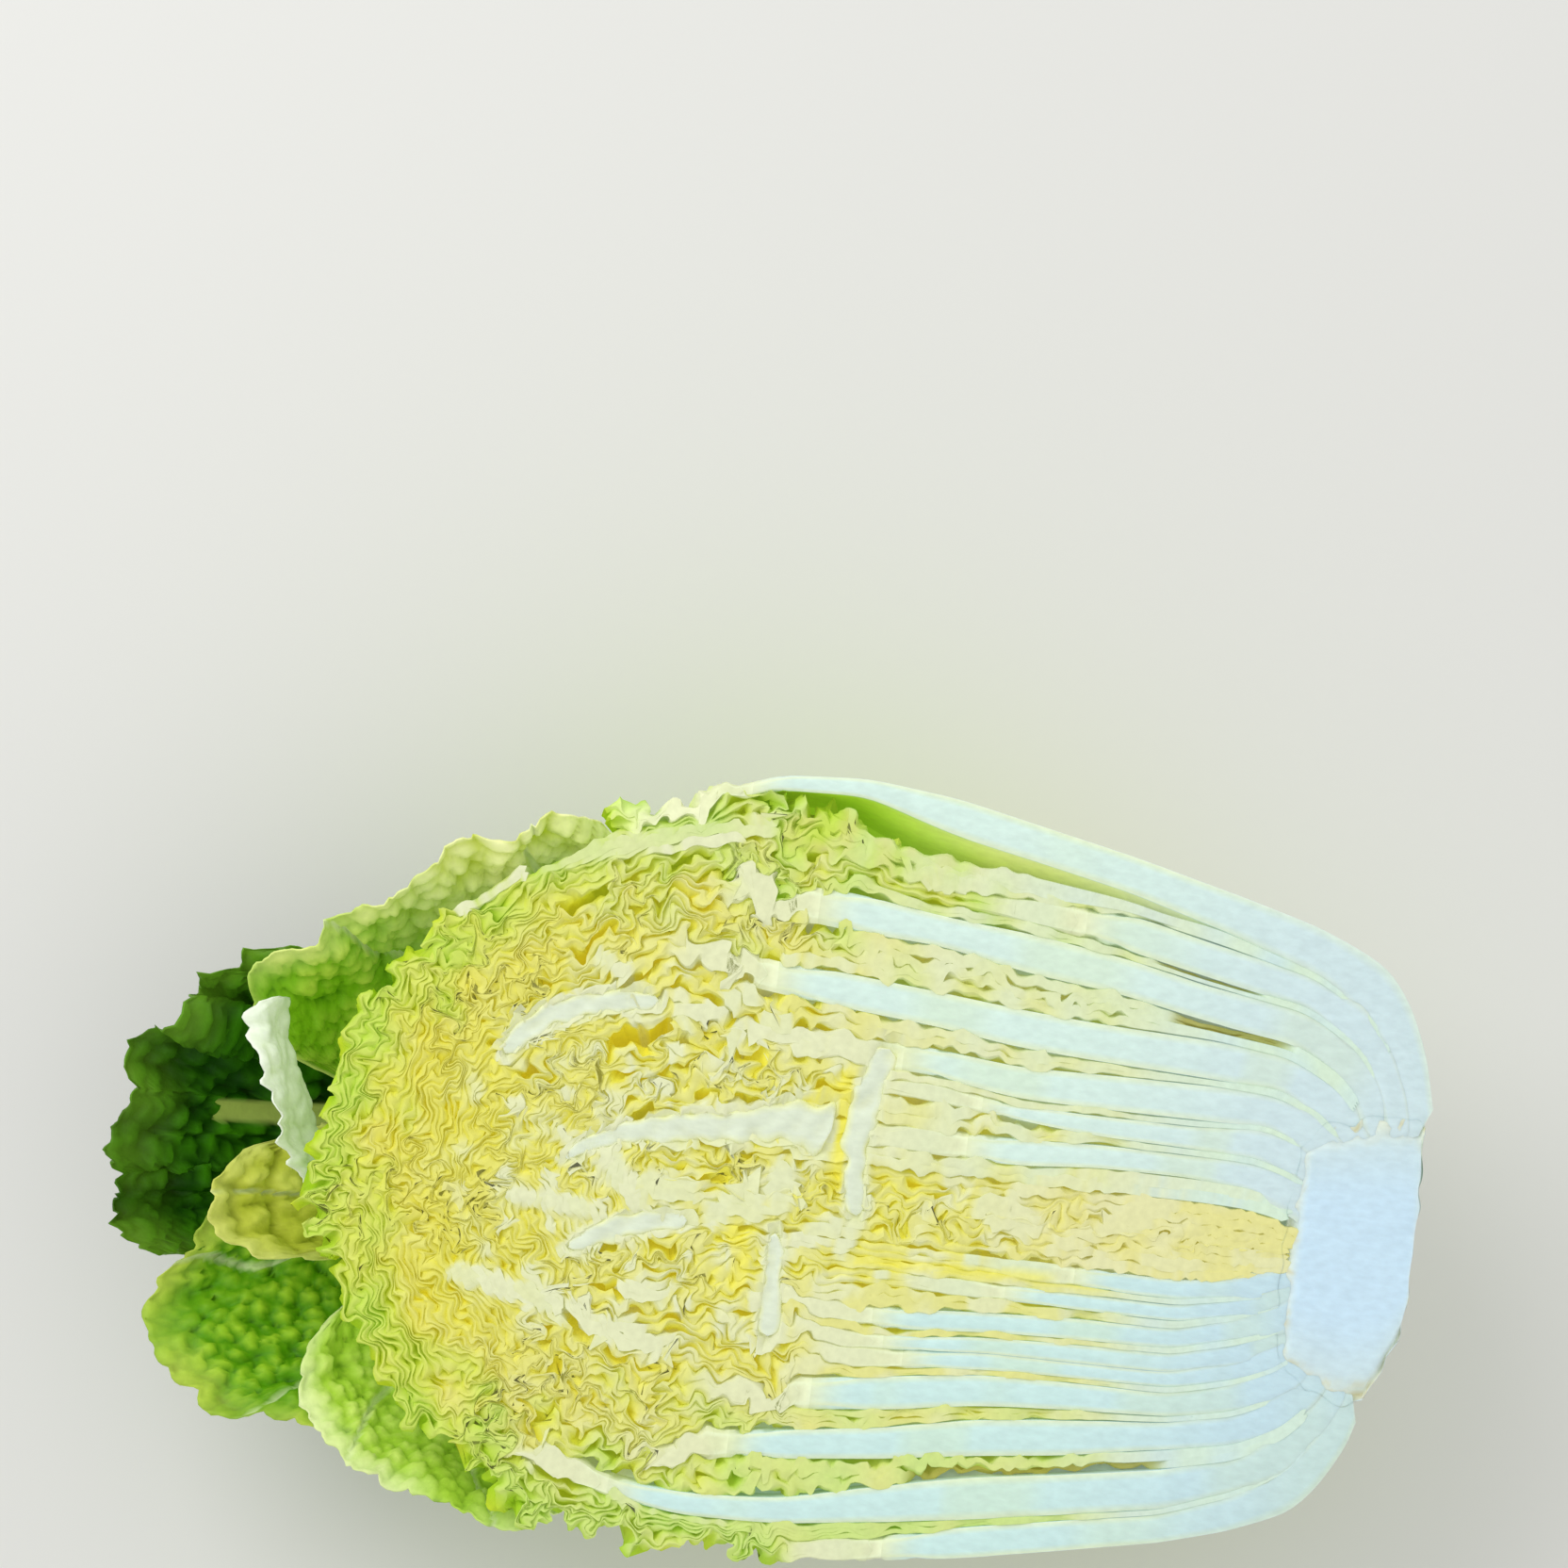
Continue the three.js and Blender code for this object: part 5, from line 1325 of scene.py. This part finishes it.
# %% Rim of the keel leaf: its depth in degrees, and its reach as a share of the head's
KEEL_EDGE = [[0, 46], [55, 46], [118, 50], [165, 62]]
DARK_BLADE = [
    [0, 46, 1.04], [30, 46, 1.05], [45, 42, 1.08], [63, 24, 1.32], [72, 10, 1.44], [81, 5, 1.53],
    [90, 4, 1.57], [99, 6, 1.59], [106, 12, 1.59], [111, 40, 1.48], [114, 54, 1.12], [120, 56, 1.05],
    [135, 50, 1.04], [180, 46, 1.04],
]
KEEL_STEP = 0.9
KEEL_ROWS = 71
round_tip = (PLACES >= 0) & (PLACES <= 180)
dark = np.array(DARK_BLADE, float)
rim_line = np.where(round_tip, np.interp(ROUND, dark[:, 0], dark[:, 1]), read(KEEL_EDGE, ALONG))
flare_line = np.where(round_tip, np.interp(ROUND, dark[:, 0], dark[:, 2]), 1.04)
rim_line, flare_line = soften(rim_line, 1.5), soften(flare_line, 1.5)
pace = np.where(round_tip, 1.5 * flare_line, 0.6) * STEP / KEEL_STEP
count = np.cumsum(pace)
place = np.interp(np.linspace(count[0], count[-1], int(count[-1])), count, PLACES)
u = np.cumsum(np.r_[0, np.interp(place[1:], PLACES, pace / STEP * KEEL_STEP) * np.diff(place)])
print("columns of the keel leaf:", len(place))

# %% Its smooth sheet
place, t = np.meshgrid(place, 1 - (1 - np.linspace(0, 1, KEEL_ROWS)) ** 1.6)
u = np.broadcast_to(u, place.shape)
flat = np.stack([u, t * 70 * 0.6, 0 * u], -1)
tip = (place >= 0) & (place <= 180)
stem = to_stem(place)
flare = at_place(flare_line, place)
free = smooth(1.06, 1.3, flare)
rim = at_place(rim_line, place) + 2.0 * (1 + noise(flat * [1, 0, 1], 9, 50, 301))
depth = np.radians(mix(90, rim, t))
middle = on_ray(place, depth, mix(1.02, flare, t**1.3))
upward = np.gradient(middle, axis=0)
normal = np.cross(np.gradient(middle, axis=1), upward)
axis = np.stack([np.where(tip, 0.0, middle[..., 0]), 0 * u, 0 * u], -1)
outward = unit(middle - axis)
normal = np.where(np.linalg.norm(normal, axis=-1, keepdims=True) > 1e-6, unit(normal), outward)
normal = np.where((normal * outward).sum(-1, keepdims=True) < 0, -normal, normal)
normal = unit(mix(outward, normal, smooth(0.0, 0.25, t)[..., None]))
print("its blade reaches", round(-middle[..., 0].min(), 1), "mm past the tip's middle")

# %% Its midrib and side veins
side_y = np.abs(middle[..., 1])
rib_width = np.where(tip, mix(7.0, 2.0, smooth(0.0, 0.8, t)), mix(7.0, 27.0, smooth(-40, 150, stem)))
rib = smooth(1.25, 0.8, side_y / rib_width) * (middle[..., 2] < -40)
branch = np.zeros_like(u)
for start in range(-60, 150, 26):
    line_x = start - 0.9 * (side_y - 10)
    gap = np.abs(middle[..., 0] - line_x + 2.5 * noise(flat, 30, 50, 306))
    branch = np.maximum(branch, smooth(1.0, 0.4, gap / (2.6 * mix(1.0, 0.35, t))) * (side_y > 6))
branch = branch * (1 - free)
rib_thick = 9.2 * smooth(66, 84, np.degrees(depth))
rib_thick = rib_thick * np.where(tip, 0.5, mix(0.55, 1.0, smooth(0, 40, stem)))
print("its midrib is up to", round(float(rib_thick.max()), 1), "mm thick")

# %% Its blisters, ruffles and torn rim
dome = blisters(middle, 5.4, 304)
small = blisters(middle, 2.8, 305)
lobe = blisters(middle[-1:], 6.5, 313)
rise = (mix(0.9, 3.6, free) * dome + 0.7 * free * small) * (1 - 0.85 * np.maximum(rib, branch))
rise = rise * smooth(0, 0.2, t)
ripple = t**2 * (2.2 * noise(flat, 18, 50, 307) + 1.3 * free * t**8 * (lobe - 0.5)) * mix(0.3, 1.0, free)
blade_side = mix(-1.0, mix(1.0, 0.5, smooth(0.9, 1.0, t)), smooth(0.3, 0.8, free))
tear = t**12 * (2.6 * (lobe - 0.6) + 0.4 * noise(flat * [1, 0, 1], 3.0, 50, 310)) * mix(0.4, 1.2, free)
middle = middle + normal * (ripple - rise * blade_side)[..., None] + unit(upward) * tear[..., None]
print("its blisters rise up to", round(float(rise.max()), 1), "mm")

# %% Close it, colour it and finish it
REST_DEPTH = 84.5
BRANCH_COLOUR = linear("#d9e6c4")
KEEL_RIB = [linear("#e4ecd8"), linear("#b4c468")]
closing = np.ones_like(u)
closing[:, 0] = closing[:, -1] = 0
wall = 0.8 * mix(1.0, 0.6, t**6)
outer = middle + normal * (closing * (rib_thick + wall / 2))[..., None]
inner = middle - normal * (closing * wall / 2)[..., None]
outer[..., 2] = np.maximum(outer[..., 2], -REST_DEPTH)
inner[..., 2] = np.maximum(inner[..., 2], -REST_DEPTH + 0.4)
points = np.concatenate([outer, inner[::-1]], axis=0)
height = 0.7 * dome + 0.3 * small
tint_dark = leaf_shade("outer_keel_leaf", height, t, noise(flat, 24, 50, 311))
tint_side = leaf_shade("outer_long_leaf", height, t, noise(flat, 24, 50, 312))
tint = tone(tint_side, tint_dark, smooth(0.2, 0.8, free))
tint = tone(tint, BRANCH_COLOUR, 0.85 * branch)
tint = tone(tint, tone(KEEL_RIB[0], KEEL_RIB[1], smooth(0.3, 0.8, free)), rib)
piece = grid_piece("outer_keel_leaf_look", points, np.concatenate([tint, tint[::-1]], axis=0), [BLADE])
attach(piece, "root")
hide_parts("outer_keel_leaf")
print("keel leaf triangles:", triangles(piece))

# %% [markdown]
# ## Stage
# A pale floor, an even pale surround and one big soft lamp from the upper left of the head's tip, so the
# folds cast small soft shadows towards the stem. The camera looks straight down at the cut face.

# %% Floor and surround
bpy.ops.mesh.primitive_plane_add(size=8.0, location=(0, 0, 0))
floor = bpy.context.object
floor.name = "floor"
floor_material = bpy.data.materials.new("Pale studio card")
floor_material.use_nodes = True
floor_shader = floor_material.node_tree.nodes["Principled BSDF"]
floor_shader.inputs["Base Color"].default_value = (*linear("#dadad7"), 1)
floor_shader.inputs["Roughness"].default_value = 0.9
floor.data.materials.append(floor_material)

world = bpy.data.worlds.new("Soft white room")
world.use_nodes = True
world.node_tree.nodes["Background"].inputs["Color"].default_value = (1.0, 1.0, 0.99, 1)
world.node_tree.nodes["Background"].inputs["Strength"].default_value = 0.86
bpy.context.scene.world = world
bpy.context.scene.view_settings.view_transform = "Standard"
print("stage:", floor_material.name, "and", world.name)


# %% Lamp
def soft_lamp(name, at_mm, size, power):
    """A square lamp at this place from the middle of the cut face, aimed at it."""
    lamp = bpy.data.lights.new(name, "AREA")
    lamp.shape = "SQUARE"
    lamp.size = size
    lamp.energy = power
    made = bpy.data.objects.new(name, lamp)
    bpy.context.collection.objects.link(made)
    offset = np.array(at_mm) / 1000
    made.location = (offset + HOME + np.array([0.03, 0.0, 0.0])).tolist()
    down = math.acos(offset[2] / np.linalg.norm(offset))
    made.rotation_euler = (0, down, math.atan2(offset[1], offset[0]))
    return made


window_lamp = soft_lamp("window lamp", (-650, 700, 850), 0.8, 6.5)
print("lamp, metres:", np.round(window_lamp.location, 2))

# %% Camera
CAMERA_HEIGHT = 1.1
CAMERA_OVER = np.array([16.5, 88.8, 0.0]) / 1000
FRAME_WIDTH = 0.3428
camera = bpy.data.cameras.new("camera above")
camera.sensor_width = 36
camera.lens = 36 * CAMERA_HEIGHT / FRAME_WIDTH
eye = bpy.data.objects.new("camera above", camera)
bpy.context.collection.objects.link(eye)
eye.location = (HOME + CAMERA_OVER + np.array([0, 0, CAMERA_HEIGHT])).tolist()
eye.rotation_euler = (0, 0, math.radians(6.96))
bpy.context.scene.camera = eye
print("lens, mm:", round(camera.lens, 1))
